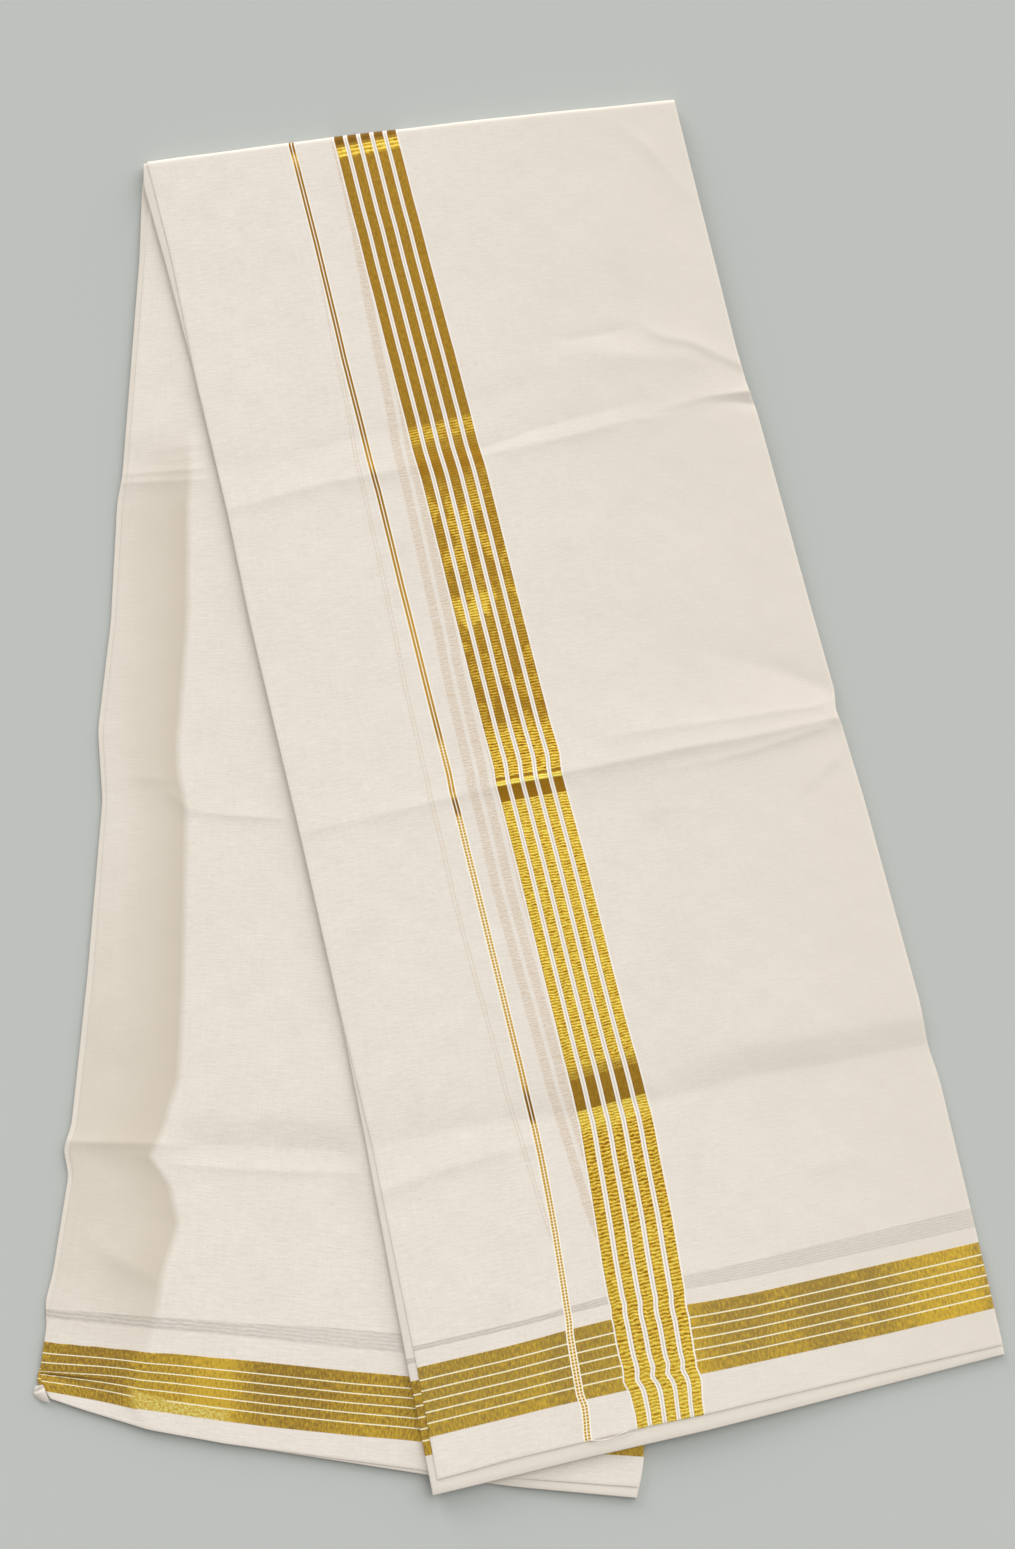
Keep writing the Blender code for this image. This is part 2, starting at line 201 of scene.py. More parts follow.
def edge_line(start, edge, shares, ply, side):
    """Points of an edge, seen from above, at many shares of its length."""
    run = run_of(edge.lean)
    outward = np.array((-run[1], run[0])) * side
    stand_out = soft_table(shares, edge.share, getattr(edge, ply), EDGE_SOFTNESS) * MM
    return start + np.outer(shares * edge.length, run) + np.outer(stand_out, outward)


def plan_of(fall, across, left, right, ply):
    """Points seen from above: one row for each pair of shares, one column for each share across."""
    left_points = edge_line(fold_left, fall.left, left, ply, -1)[:, None, :]
    right_points = edge_line(fold_right, fall.right, right, ply, 1)[:, None, :]
    across_grid = across[None, :, None]
    down = left[:, None] + (right - left)[:, None] * across[None, :]
    run = run_of(fall.left.lean + (fall.right.lean - fall.left.lean) * across)[None, :, :]
    hang = soft_table(across, fall.end.share, getattr(fall.end, ply), END_SOFTNESS) * MM
    pull = (hang[None, :] * np.clip(down, 0, 1) ** END_PULL)[..., None]
    bow = HEAD_BOW * np.sin(math.pi * across)[None, :] * np.clip(1 - down, 0, 1) ** END_PULL
    flat = left_points + (right_points - left_points) * across_grid
    return flat + run * pull + fold_outward * bow[..., None], down

# %% Rows of a grid
NEAR_CREASE = 0.008                 # rows are fine this close to a crease, as a share of the length
COARSE_AFTER = 0.03                 # and coarse when they are this much farther away
FACE_GRID = (0.0027, 0.0013, 164)   # coarse and fine spacing of the rows, and how many columns
HIDDEN_GRID = (0.005, 0.0018, 70)


def rows_down(anchors, coarse, fine):
    """Pairs of shares for the rows, close together at the anchors, which are the main creases."""
    left_places = [anchor[0] for anchor in anchors]
    right_places = [anchor[1] for anchor in anchors]
    middles = [(left + right) / 2 for left, right in anchors]
    place = 0.0
    places = [place]
    while place < 1.0:
        nearest = min(abs(place - middle) for middle in middles[1:-1])
        place += fine + (coarse - fine) * float(ease((nearest - NEAR_CREASE) / COARSE_AFTER))
        places.append(min(place, 1.0))
    return np.interp(places, middles, left_places), np.interp(places, middles, right_places)


# The top fold, the creases and the cut end: their shares of the left edge and of the right edge.
FRONT_ANCHORS = ((0, 0), (0.284, 0.255), (0.532, 0.513), (0.765, 0.772), (1, 1))
REAR_ANCHORS = ((0, 0), (0.268, 0.289), (0.541, 0.558), (0.807, 0.790), (0.979, 0.976), (1, 1))
print("rows in the front fall:", len(rows_down(FRONT_ANCHORS, *FACE_GRID[:2])[0]))

# %% [markdown]
# ## Creases
#
# The cloth was stored folded, so it keeps the creases of smaller folds, and soft waves between them. A
# crease is a line with a height, and with a reach above and below it. A fold that was pressed to one side
# has one steep flank and one long one. A height below zero sinks. The tables rank the creases by how
# strongly each catches the light, and one factor turns their numbers to the depth of this cloth. Most
# creases end up about a millimetre deep.
#
# Places are in millimetres of cloth: across from the left edge, then down from the top fold.

# %% Creases of the front fall
Crease = namedtuple("Crease", "points heights above below")

FRONT_CREASES = (
    # first fold: a shallow trough, a flat band, and a ridge that falls off below
    Crease(((0, 250), (58, 245), (110, 240), (160, 236), (210, 222), (307, 210)),
           (-0.10, -0.35, -0.38, -0.30, -0.30, 0.0), 9, 20),
    Crease(((0, 281), (80, 271), (139, 269), (170, 267)), (0.35, 0.62, 0.55, 0.25), 13, 8),
    Crease(((180, 263), (210, 261), (255, 252), (323, 244), (350, 240)),
           (-0.05, -0.40, -0.45, -0.25, 0.0), 9, 6),
    Crease(((190, 268), (251, 264), (292, 260), (325, 256), (370, 257)),
           (0.20, 0.42, 0.42, 0.28, 0.0), 7, 6),
    # the pinch at the right edge
    Crease(((340, 252), (392, 246), (424, 247)), (0.0, 0.40, 1.0), 5, 4),
    Crease(((385, 251), (407, 253), (424, 257)), (0.0, -0.35, -0.7), 4, 4),
    # small wrinkles above the pinch
    Crease(((275, 178), (297, 184), (329, 183), (355, 180)), (0.0, -0.28, -0.36, 0.0), 3.5, 6),
    Crease(((350, 178), (368, 193), (390, 201), (408, 214), (424, 225)),
           (0.0, 0.42, 0.52, 0.45, 0.55), 9, 3.0),
    Crease(((290, 186), (325, 202), (380, 212), (408, 221)), (0.0, 0.75, 0.65, 0.0), 16, 15),
    Crease(((371, 5), (395, 37), (416, 79)), (0.0, 0.35, 0.15), 9, 8),
    # second fold: a ridge that falls off below, and a fan of small folds at the right edge
    Crease(((0, 532), (60, 529), (101, 526), (155, 523), (185, 522)), (0.25, 0.30, 0.40, 0.35, 0.5), 9, 5),
    Crease(((155, 524), (204, 521), (246, 520), (297, 518), (348, 518), (413, 515), (424, 515)),
           (0.35, 0.75, 0.95, 1.05, 0.95, 0.9, 1.2), 18, 7.5),
    Crease(((263, 532), (310, 532), (353, 529), (411, 520)), (0.0, 0.18, 0.32, 0.35), 5, 3),
    Crease(((240, 502), (267, 500), (336, 502), (412, 503)), (0.0, 0.28, 0.32, 0.40), 8, 4.0),
    Crease(((330, 445), (356, 457), (385, 471), (412, 488), (424, 497)), (0.0, -0.4, -0.8, -0.8, -0.5),
           13, 22),
    Crease(((372, 570), (394, 557), (412, 546)), (0.0, 0.35, 0.45), 8, 3),
    Crease(((255, 563), (275, 562), (310, 564)), (0.0, 0.20, 0.0), 8, 4),
    # third fold: the cloth steps down over a long upper flank and comes back slowly
    Crease(((0, 768), (60, 766), (108, 768), (156, 773), (208, 774), (240, 774), (287, 770), (343, 773),
            (421, 773)),
           (-0.75, -0.90, -1.00, -1.05, -1.1, -1.2, -1.3, -1.35, -1.2), 16, 100),
    Crease(((225, 750), (287, 746), (343, 749), (424, 750)), (0.0, 0.55, 0.60, 0.5), 26, 15),
    Crease(((0, 799), (45, 792), (94, 788), (130, 786)), (0.35, 0.42, 0.32, 0.0), 10, 5),
    Crease(((295, 846), (336, 845), (372, 839)), (0.0, 0.25, 0.0), 10, 5),
)
print("creases in the front fall:", len(FRONT_CREASES))

# %% Creases of the rear fall
REAR_CREASES = (
    Crease(((5, 248), (30, 246), (60, 243), (110, 243)), (0.0, 0.20, 0.30, 0.25), 7, 3.5),
    Crease(((5, 256), (40, 255), (60, 252), (110, 252)), (0.0, 0.15, 0.22, 0.2), 5, 3),
    Crease(((0, 266), (20, 265), (62, 264), (110, 265)), (0.35, 0.36, 0.42, 0.3), 6, 3.5),
    Crease(((0, 273), (20, 273), (63, 273), (110, 275)), (0.50, 0.55, 0.42, 0.2), 5, 8),
    Crease(((10, 517), (35, 518), (58, 518)), (0.0, 0.26, 0.0), 6, 4),
    Crease(((45, 526), (54, 533), (63, 542)), (0.0, 0.25, 0.2), 5, 4),
    Crease(((64, 543), (85, 545), (138, 547), (170, 548)), (0.15, 0.32, 0.34, 0.3), 7, 3.0),
    # third fold: a ridge near the left edge that turns into a trough
    Crease(((0, 807), (14, 806), (65, 802), (92, 800)), (0.8, 0.8, 0.6, 0.0), 8, 8),
    Crease(((58, 802), (93, 801), (151, 798), (210, 795), (250, 793)),
           (-0.1, -0.85, -1.1, -1.15, -1.1), 15, 80),
    Crease(((75, 778), (110, 776), (170, 774), (250, 770)), (0.0, 0.4, 0.5, 0.5), 24, 14),
    Crease(((60, 815), (92, 816), (154, 813), (212, 809)), (0.0, 0.26, 0.30, 0.25), 6, 4),
    Crease(((8, 876), (42, 890), (72, 902)), (0.0, 0.8, 0.5), 16, 12),
    # the tuck that pinches the corner
    Crease(((0, 981), (25, 983), (66, 984)), (-0.55, -0.5, 0.0), 2.5, 4),
    Crease(((66, 958), (69, 975), (66, 986)), (0.0, 0.35, 0.5), 5, 5),
)
print("creases in the rear fall:", len(REAR_CREASES))

# %% Heights from creases
CREASE_DEPTH = 1.8                  # turns the heights of the tables to millimetres
LONG_FLANK = 1.5                    # how much longer a crease's flank is where it faces the lamp


def crease_height(across, down, creases):
    """Height in metres that the creases add, at cloth places in millimetres."""
    height = np.zeros_like(across)
    for crease in creases:
        points = np.array(crease.points, dtype=float)
        beside = min(crease.above, crease.below)
        tip = 0.4 + 0.06 * beside + 0.45 * max(beside - 10.0, 0.0)      # wide creases have rounder tips
        nearest = np.full_like(across, 1e6)
        below = np.zeros_like(across)
        strength = np.zeros_like(across)
        for index in range(len(points) - 1):
            start = points[index]
            step = points[index + 1] - start
            part = ((across - start[0]) * step[0] + (down - start[1]) * step[1]) / (step @ step)
            part = np.clip(part, 0.0, 1.0)
            off_across = across - start[0] - part * step[0]
            off_down = down - start[1] - part * step[1]
            distance = np.hypot(off_across, off_down)
            closer = distance < nearest
            nearest = np.where(closer, distance, nearest)
            below = np.where(closer, off_down, below)
            first, last = crease.heights[index], crease.heights[index + 1]
            strength = np.where(closer, first + (last - first) * part, strength)
        faces_lamp = (below > 0.0) == (strength < 0.0)
        reach = np.where(below > 0.0, crease.below, crease.above) * np.where(faces_lamp, LONG_FLANK, 1.0)
        reach = beside + (reach - beside) * np.abs(below) / (nearest + 1e-6)
        rounded = np.sqrt(nearest ** 2 + tip ** 2) - tip
        height += strength * np.exp(-rounded / reach)
    return CREASE_DEPTH * height * MM


at_second_fold = crease_height(np.array([297.0]), np.array([518.0]), FRONT_CREASES)
print("the second fold is", (at_second_fold / MM).round(2), "mm high")

# %% Soft waves
SWELL_WAVES = 12
Wave = namedtuple("Wave", "height length seed")
FRONT_WAVES = (Wave(0.16, 95, 11), Wave(0.05, 34, 12))
REAR_WAVES = (Wave(0.12, 80, 21), Wave(0.05, 30, 22))


def swell(across, down, wave, seed):
    """Soft waves of about 1, from a few sine waves of random directions."""
    dice = np.random.default_rng(seed)
    total = np.zeros_like(across)
    for _ in range(SWELL_WAVES):
        angle = dice.uniform(0.0, 2.0 * math.pi)
        length = wave * dice.uniform(0.6, 1.8)
        turns = (across * math.cos(angle) + down * math.sin(angle)) / length
        total += np.sin(2.0 * math.pi * turns + dice.uniform(0.0, 2.0 * math.pi))
    return total / math.sqrt(SWELL_WAVES)


def soft_waves(across, down, rows):
    """Height in millimetres of waves of several lengths."""
    return sum(wave.height * swell(across, down, wave.length, wave.seed) for wave in rows)


print("swell at one place:", swell(np.array([100.0]), np.array([200.0]), 80, 3).round(3))

# %% [markdown]
# ## What lies under what
#
# The hidden plies hold the face ply up, and the front fall lies on the rear fall. Where it runs out past
# the rear fall's right edge it comes down to the floor in one gentle slope. One hidden ply of the rear
# fall stops short of the left edge, so a long soft step runs down that fall. The front fall presses the
# rear fall flat where it covers it.

# %% Heights of the plies
REAR_TOP = 5.0 * MM                 # top of the rear fall, where the front fall rests
DRAPE_START = 20 * MM               # how far past the rear fall the slope to the floor starts and ends
DRAPE_END = 200 * MM
PRESSED_EDGE = 4 * MM               # the front fall presses flat up to its edge and a little past it
PRESSED_FADE = 24 * MM

# The rear fall's step, in millimetres: where the hidden ply stops, how deep and how long the step is.
STEP_DOWN = (225, 282, 380, 465, 513, 540, 598, 660, 722, 752, 798, 813, 832, 860, 885, 905, 926, 1000)
STEP_ACROSS = (47, 52, 57, 59, 58, 63, 66, 69, 72, 73, 64, 61, 73, 83, 76, 76, 74, 70)
STEP_DEPTH = 1.3
STEP_SLOPE = 12.0
STEP_LIP = 5.0
STEP_STARTS_OVER = 60


def side_of(points, start, lean):
    """How far points lie to the right of an edge's straight line, in metres."""
    run = run_of(lean)
    return (points - start) @ np.array((-run[1], run[0]))


def rest_height(points):
    """Height of what the front fall lies on."""
    outside = side_of(points, fold_right, REAR.right.lean)
    return REAR_TOP * (1.0 - ease((outside - DRAPE_START) / (DRAPE_END - DRAPE_START)))


def front_relief(across, down, points):
    """Height that creases and soft waves give to the front fall; its points are not used."""
    waves = soft_waves(across, down, FRONT_WAVES)
    return crease_height(across, down, FRONT_CREASES) + waves * MM


def rear_relief(across, down, points):
    """The same for the rear fall, with its step, and flat where the front fall covers it."""
    past = np.interp(down, STEP_DOWN, STEP_ACROSS) - across
    slope = 1.0 - np.exp(-np.clip(past, 0, None) / STEP_SLOPE)
    strength = ease((down - STEP_DOWN[0]) / STEP_STARTS_OVER) * (1.0 + 0.12 * np.sin(down / 47.0))
    step = -STEP_DEPTH * strength * slope * ease(past / STEP_LIP + 0.4)
    waves = soft_waves(across, down, REAR_WAVES)
    clear = -side_of(points, fold_left, FRONT.left.lean)
    free = ease((clear + PRESSED_EDGE) / PRESSED_FADE)
    return (crease_height(across, down, REAR_CREASES) + (step + waves) * MM) * free


print("the front fall rests at", rest_height(np.array([[0.0, 0.0], [0.3, -0.3]])).round(4))

# %% [markdown]
# ## Sheets
#
# A ply is built as one thin sheet. Its long edges are folds, so each turns under in a small round bend
# and runs back a few millimetres. The cut end is a narrow rolled hem and is made the same way. At the top
# fold the sheet goes round the stack to the floor. Every point keeps its cloth place in a UV map, in
# metres of cloth, so that all woven patterns run with the threads whatever the sheet does.

# %% Small bends
BEND_STEPS = 5                      # panels round a bend
ROLL_ROWS = 14                      # rows round the top fold
ROLL_TURN = math.radians(172)       # how far round it they go
RETURN = (2.5 * MM, 7 * MM)         # how far the cloth runs back under a bend
LOWEST = 0.1 * MM                   # no cloth goes into the floor
Ply = namedtuple("Ply", "fall outline height top bend relief roll_centre")


def bend_profile(radius):
    """How far out, how deep, and how far along the cloth each point of a bend is."""
    angles = np.linspace(0.0, math.pi, BEND_STEPS + 1)[1:]
    out = list(radius * np.sin(angles)) + [-back for back in RETURN]
    deep = list(radius * (1.0 - np.cos(angles))) + [2.0 * radius] * len(RETURN)
    length = list(radius * angles) + [math.pi * radius + back for back in RETURN]
    return np.array(out), np.array(deep), np.array(length)


print("a bend of 1 mm takes up", bend_profile(MM)[2][BEND_STEPS - 1].round(5), "m of cloth")


# %% Round the top fold
def unit(vectors):
    """Vectors made 1 long."""
    return vectors / np.linalg.norm(vectors, axis=2, keepdims=True)


def round_the_top(ply, grid, thick, across_mm, down_mm):
    """Add the rows that go round the top fold, and say which way is inward at every point."""
    inward = np.broadcast_to(np.array((0.0, 0.0, -1.0)), grid.shape).copy()
    if not ply.roll_centre:
        return grid, inward, thick, across_mm, down_mm
    angles = np.linspace(ROLL_TURN, 0.0, ROLL_ROWS + 1)[:-1]
    centre = grid[0].copy()
    radius = (centre[:, 2] - ply.roll_centre)[:, None]
    centre[:, 2] = ply.roll_centre
    outward = np.array((fold_outward[0], fold_outward[1], 0.0))
    up = np.array((0.0, 0.0, 1.0))
    turned = np.array([outward * math.sin(angle) + up * math.cos(angle) for angle in angles])
    roll = centre[None] + radius[None] * turned[:, None, :]
    roll_down = -angles[:, None] * (radius[:, 0] / MM)[None, :]
    roll_across = np.broadcast_to(across_mm[:1], roll_down.shape)
    return (
        np.concatenate((roll, grid)),
        np.concatenate((np.broadcast_to(-turned[:, None, :], roll.shape), inward)),
        np.concatenate((np.ones(roll.shape[:2]), thick)),
        np.concatenate((roll_across, across_mm)),
        np.concatenate((roll_down, down_mm)),
    )


print("rows round the top fold:", ROLL_ROWS)


# %% Round the edges
def round_the_sides(ply, grid, inward, thick, across_mm, down_mm):
    """Add the columns of the small bends at both long edges."""
    out, deep, length = bend_profile(ply.bend)
    left_side = unit(grid[:, :1] - grid[:, 1:2])
    right_side = unit(grid[:, -1:] - grid[:, -2:-1])
    left_deep = deep[None, :, None] * thick[:, :1, None]
    right_deep = deep[None, :, None] * thick[:, -1:, None]
    left_bend = grid[:, :1] + left_side * out[None, :, None] + inward[:, :1] * left_deep
    right_bend = grid[:, -1:] + right_side * out[None, :, None] + inward[:, -1:] * right_deep
    return (
        np.concatenate((left_bend[:, ::-1], grid, right_bend), axis=1),
        np.concatenate((
            across_mm[:, :1] - length[None, ::-1] / MM, across_mm, across_mm[:, -1:] + length[None, :] / MM
        ), axis=1),
        np.concatenate((
            np.repeat(down_mm[:, :1], len(out), axis=1), down_mm,
            np.repeat(down_mm[:, -1:], len(out), axis=1)
        ), axis=1),
    )


def round_the_end(ply, grid, across_mm, down_mm):
    """Add the rows of the hem at the cut end. The side bends are already low, so they don't sink again."""
    out, deep, length = bend_profile(ply.bend)
    end_side = grid[-1:] - grid[-2:-1]
    end_side[..., 2] = 0.0
    end_side = unit(end_side)
    sunk = np.zeros(grid.shape[1])
    sunk[:len(deep)] = deep[::-1]
    sunk[-len(deep):] = deep
    bend = grid[-1:] + end_side * out[:, None, None]
    bend[..., 2] -= np.maximum(deep[:, None], sunk[None, :]) - sunk[None, :]
    return (
        np.concatenate((grid, bend)),
        np.concatenate((across_mm, np.repeat(across_mm[-1:], len(out), axis=0))),
        np.concatenate((down_mm, down_mm[-1:] + length[:, None] / MM)),
    )


print("points round each edge:", BEND_STEPS + len(RETURN))


# %% Points of a sheet
def sheet_points(ply, left, right, columns):
    """Grid of points of a ply with its bends, and its cloth places in millimetres."""
    across = np.linspace(0.0, 1.0, columns)
    points, down = plan_of(ply.fall, across, left, right, ply.outline)
    across_mm = np.broadcast_to(across[None, :] * STRIP / MM, down.shape)
    down_mm = down * 1000.0
    relief = ply.relief(across_mm, down_mm, points)
    thick = np.clip(1.0 + relief / ply.top, 0.25, None)
    height = ply.height * thick
    if ply.fall is FRONT:
        height = height + rest_height(points)
    grid = np.concatenate((points, height[..., None]), axis=2)
    grid, inward, thick, across_mm, down_mm = round_the_top(ply, grid, thick, across_mm, down_mm)
    grid, across_mm, down_mm = round_the_sides(ply, grid, inward, thick, across_mm, down_mm)
    grid, across_mm, down_mm = round_the_end(ply, grid, across_mm, down_mm)
    grid[..., 2] = np.maximum(grid[..., 2], LOWEST)
    return grid, across_mm, down_mm


print("no sheet goes lower than", LOWEST, "m")


# %% Mesh of a sheet
def sheet_mesh(name, layers):
    """One mesh object from its layers, with two UV maps: woven places, and places of the ply below."""
    corners = []
    places = []
    below_places = []
    faces = []
    for points, across_mm, down_mm, below_mm in layers:
        rows, columns = across_mm.shape
        first = sum(len(part) for part in corners)
        numbers = first + np.arange(rows * columns).reshape(rows, columns)
        corners.append(points.reshape(-1, 3))
        places.append(np.stack((across_mm.ravel(), down_mm.ravel()), axis=1) * MM)
        below_places.append(np.stack((below_mm.ravel(), down_mm.ravel()), axis=1) * MM)
        around = (numbers[:-1, :-1], numbers[1:, :-1], numbers[1:, 1:], numbers[:-1, 1:])
        faces.append(np.stack(around, axis=-1).reshape(-1, 4))
    corners = np.concatenate(corners)
    faces = np.concatenate(faces)
    mesh = bpy.data.meshes.new(name)
    mesh.from_pydata(corners.tolist(), [], faces.tolist())
    for title, parts in (("cloth_place", places), ("place_below", below_places)):
        uv_map = mesh.uv_layers.new(name=title)
        uv_map.data.foreach_set("uv", np.concatenate(parts)[faces.ravel()].ravel())
    mesh.shade_smooth()
    piece = bpy.data.objects.new(name, mesh)
    bpy.context.scene.collection.objects.link(piece)
    print(name, "has", len(faces), "panels")
    return piece

# %% [markdown]
# ## Woven places
#
# The stripes run straight in the loom, but in a folded cloth they wander: the threads shift, and the
# fold line isn't quite along them. So each point gets a second pair of coordinates, its woven place, in
# which every stripe is straight. The tables say where the stripes lie on the folded cloth.

# %% Where the stripes lie
TWIN_AT = 118.0                     # middle of the twin stripe
BAND_AT = 154.0                     # left side of the five stripes
STRIPE_WIDTH = 7.6
STRIPE_PITCH = 10.88
BAND_WIDTH = 4 * STRIPE_PITCH + STRIPE_WIDTH

# Rows of the twin stripe: how far down, and how far across its middle lies.
TWIN = ((-20, 115.2), (10, 115.3), (75, 115.6), (150, 117.4), (225, 118.5), (275, 118.4), (325, 119.4),
        (375, 120.2), (450, 120.3), (525, 120.7), (575, 120.5), (675, 120.9), (750, 120.5), (775, 121.0),
        (800, 120.5), (825, 120.0), (850, 119.2), (875, 117.8), (890, 117.0), (900, 116.3), (915, 115.5),
        (925, 114.0), (940, 113.5), (960, 113.0), (969, 112.9), (975, 114.6), (985, 113.8), (995, 112.3),
        (1010, 112.0))
# Rows of the five stripes: down, across of their left side and of their right side, and how far the
# middle lies to the right of halfway.
BAND = (
    (-20, 149.5, 199.2, 0), (60, 149.6, 199.7, 0), (105, 150.6, 201.0, 0), (130, 151.6, 202.1, 0),
    (180, 153.0, 204.1, 0.1), (230, 153.7, 204.9, 0.1), (255, 153.3, 204.5, 0.1),
    (305, 154.2, 205.1, 0.1), (355, 154.8, 205.5, 0), (430, 154.5, 205.2, 0), (480, 154.5, 205.2, 0),
    (507, 155.1, 206.3, 0), (530, 154.5, 205.0, 0), (605, 154.3, 205.5, 0), (705, 153.9, 205.4, 0),
    (730, 153.6, 205.9, 0), (755, 154.1, 207.1, 0), (780, 154.2, 208.0, 0), (805, 152.3, 206.6, 0),
    (830, 151.1, 206.0, 0.2), (855, 149.6, 205.7, 0.2), (880, 148.1, 204.3, 0), (905, 147.2, 203.0, 0),
    (912, 147.9, 202.6, 0), (918, 146.7, 201.4, -0.2), (924, 147.1, 201.1, -0.6),
    (930, 146.9, 201.6, -0.2), (936, 146.6, 201.0, 0.3), (948, 146.8, 200.6, 0), (954, 147.7, 200.0, 0),
    (960, 147.2, 200.3, 1.4), (966, 146.1, 199.3, -0.4), (972, 148.6, 201.1, 0.9),
    (978, 149.2, 201.0, 1.4), (990, 149.8, 198.9, 1.3), (1010, 148.6, 197.8, 1.2),
)
# Rows of the ply below, which shows through: down, across of the left side of its stripes.
BELOW = ((-20, 146.4), (10, 146.1), (50, 145.6), (100, 143.4), (150, 142.0), (200, 141.0), (225, 140.0),
         (250, 137.6), (275, 136.9), (350, 136.5), (400, 135.2), (425, 133.6), (450, 133.0), (500, 132.4),
         (550, 132.2), (600, 131.1), (650, 132.7), (700, 134.2), (750, 135.2), (770, 137.2), (790, 138.5),
         (815, 140.5), (840, 143.0), (860, 146.5), (1010, 160.0))
print("stripe tables of", len(TWIN), len(BAND), "and", len(BELOW), "rows")

# %% Where the end bands lie
# Rows of the end bands: how far across, and how far down their top side and bottom side lie.
FRONT_END = ((-20, 923.1, 971.1), (60, 923.1, 971.6), (90, 922.0, 971.1), (108, 920.9, 971.1),
             (145, 920.0, 971.7), (203, 921.0, 971.3), (215, 921.9, 971.8), (250, 923.5, 972.5),
             (340, 923.5, 973.7), (400, 923.0, 972.9), (440, 922.4, 972.2))
REAR_END = ((-20, 961.0, 992.0), (5, 958.9, 991.4), (20, 956.8, 990.6), (40, 954.3, 989.5),
            (60, 952.3, 988.4), (80, 950.5, 987.5), (100, 949.0, 987.1), (130, 947.3, 986.6),
            (160, 946.6, 986.5), (220, 945.3, 985.0), (258, 943.5, 983.5), (380, 939.5, 981.0),
            (440, 937.0, 979.5))
END_TOP = 922.0                     # sides of the end band in the loom
END_BOTTOM = 970.2
END_EASES = 860.0                   # below this the end band's rows take over
HIDDEN_LOWER = 5.0                  # how much lower the band lies on the front fall's hidden plies
# The tuck at the rear corner: woven places from the band's top, and how far down they lie at the left edge.
TUCK_WOVEN = (0.0, 9.0, 16.5, 23.8, 31.6, 38.8, 45.0)
TUCK_DOWN = (958.9, 966.8, 973.9, 980.8, 982.6, 987.4, 991.4)
TUCK_ACROSS = 60.0                  # how far across the tuck reaches, and where it is left out
TUCK_END = 70.0
print("end band tables of", len(FRONT_END), "and", len(REAR_END), "rows")

# %% From cloth place to woven place
# How soft the corners of the tables are, in millimetres.
TWIN_SOFT = 1.8
BAND_SOFT = 1.1
BELOW_SOFT = 4.0
END_SOFT = 4.0


def column(rows, number):
    """One column of a table of rows."""
    return [row[number] for row in rows]


def stretch(places, knots, woven):
    """Woven places from cloth places, straight between knots that may move from point to point."""
    result = woven[0] + places - knots[0]
    for index in range(len(knots) - 1):
        share = (places - knots[index]) / (knots[index + 1] - knots[index])
        step = woven[index + 1] - woven[index]
        result = np.where(places >= knots[index], woven[index] + share * step, result)
    return np.where(places >= knots[-1], woven[-1] + places - knots[-1], result)


def end_sides(across_mm, rows):
    """How far down the top side and the bottom side of an end band lie."""
    places = column(rows, 0)
    return [soft_table(across_mm, places, column(rows, side), END_SOFT) for side in (1, 2)]


def woven_down(across_mm, down_mm, rows):
    """Woven places down: the end band is brought to one straight band."""
    top, bottom = end_sides(across_mm, rows)
    early = np.full_like(top, END_EASES)
    return stretch(down_mm, (early, top, bottom), (END_EASES, END_TOP, END_BOTTOM))


top_at_middle = end_sides(200.0, FRONT_END)[0]
print("the front end band starts", top_at_middle.round(1), "mm down at 200 mm across")


# %% Woven places of each piece
def front_woven(across_mm, down_mm):
    """Woven places of the front fall's face ply, and how far right the ply below lies at each."""
    twin = soft_table(down_mm, column(TWIN, 0), column(TWIN, 1), TWIN_SOFT)
    left, right, off_middle = [
        soft_table(down_mm, column(BAND, 0), column(BAND, number), BAND_SOFT) for number in (1, 2, 3)
    ]
    middle = (left + right) / 2 + off_middle
    start = np.zeros_like(twin)
    far = STRIP / MM
    knots = (start, twin, left, middle, right, start + far)
    places = (0.0, TWIN_AT, BAND_AT, BAND_AT + BAND_WIDTH / 2, BAND_AT + BAND_WIDTH, far)
    below = across_mm - soft_table(down_mm, column(BELOW, 0), column(BELOW, 1), BELOW_SOFT)
    return stretch(across_mm, knots, places), woven_down(across_mm, down_mm, FRONT_END), below


def rear_woven(across_mm, down_mm):
    """Woven places of the rear fall, with the tuck that pinches the corner of its end band."""
    plain = woven_down(across_mm, down_mm, REAR_END)
    top, bottom = end_sides(across_mm, REAR_END)
    pinch = np.clip(1.0 - (across_mm + 1.0) / TUCK_ACROSS, 0.0, 1.0) ** 1.15
    scale = (bottom - top) / (END_BOTTOM - END_TOP)
    shift = top - TUCK_DOWN[0]
    knots = [
        pinch * (down + shift) + (1.0 - pinch) * (top + woven * scale)
        for down, woven in zip(TUCK_DOWN, TUCK_WOVEN)
    ]
    tucked = stretch(down_mm, knots, [END_TOP + woven for woven in TUCK_WOVEN])
    in_corner = (down_mm > top) & (across_mm < TUCK_END)
    return across_mm, np.where(in_corner, tucked, plain), across_mm


def front_hidden_woven(across_mm, down_mm):
    """Woven places of the front fall's hidden plies, whose end band lies a little lower."""
    return across_mm, woven_down(across_mm, down_mm - HIDDEN_LOWER, FRONT_END), across_mm


twin_at_middle = soft_table(500, column(TWIN, 0), column(TWIN, 1), TWIN_SOFT)
print("the twin stripe at 500 mm down lies", twin_at_middle.round(1), "mm across")
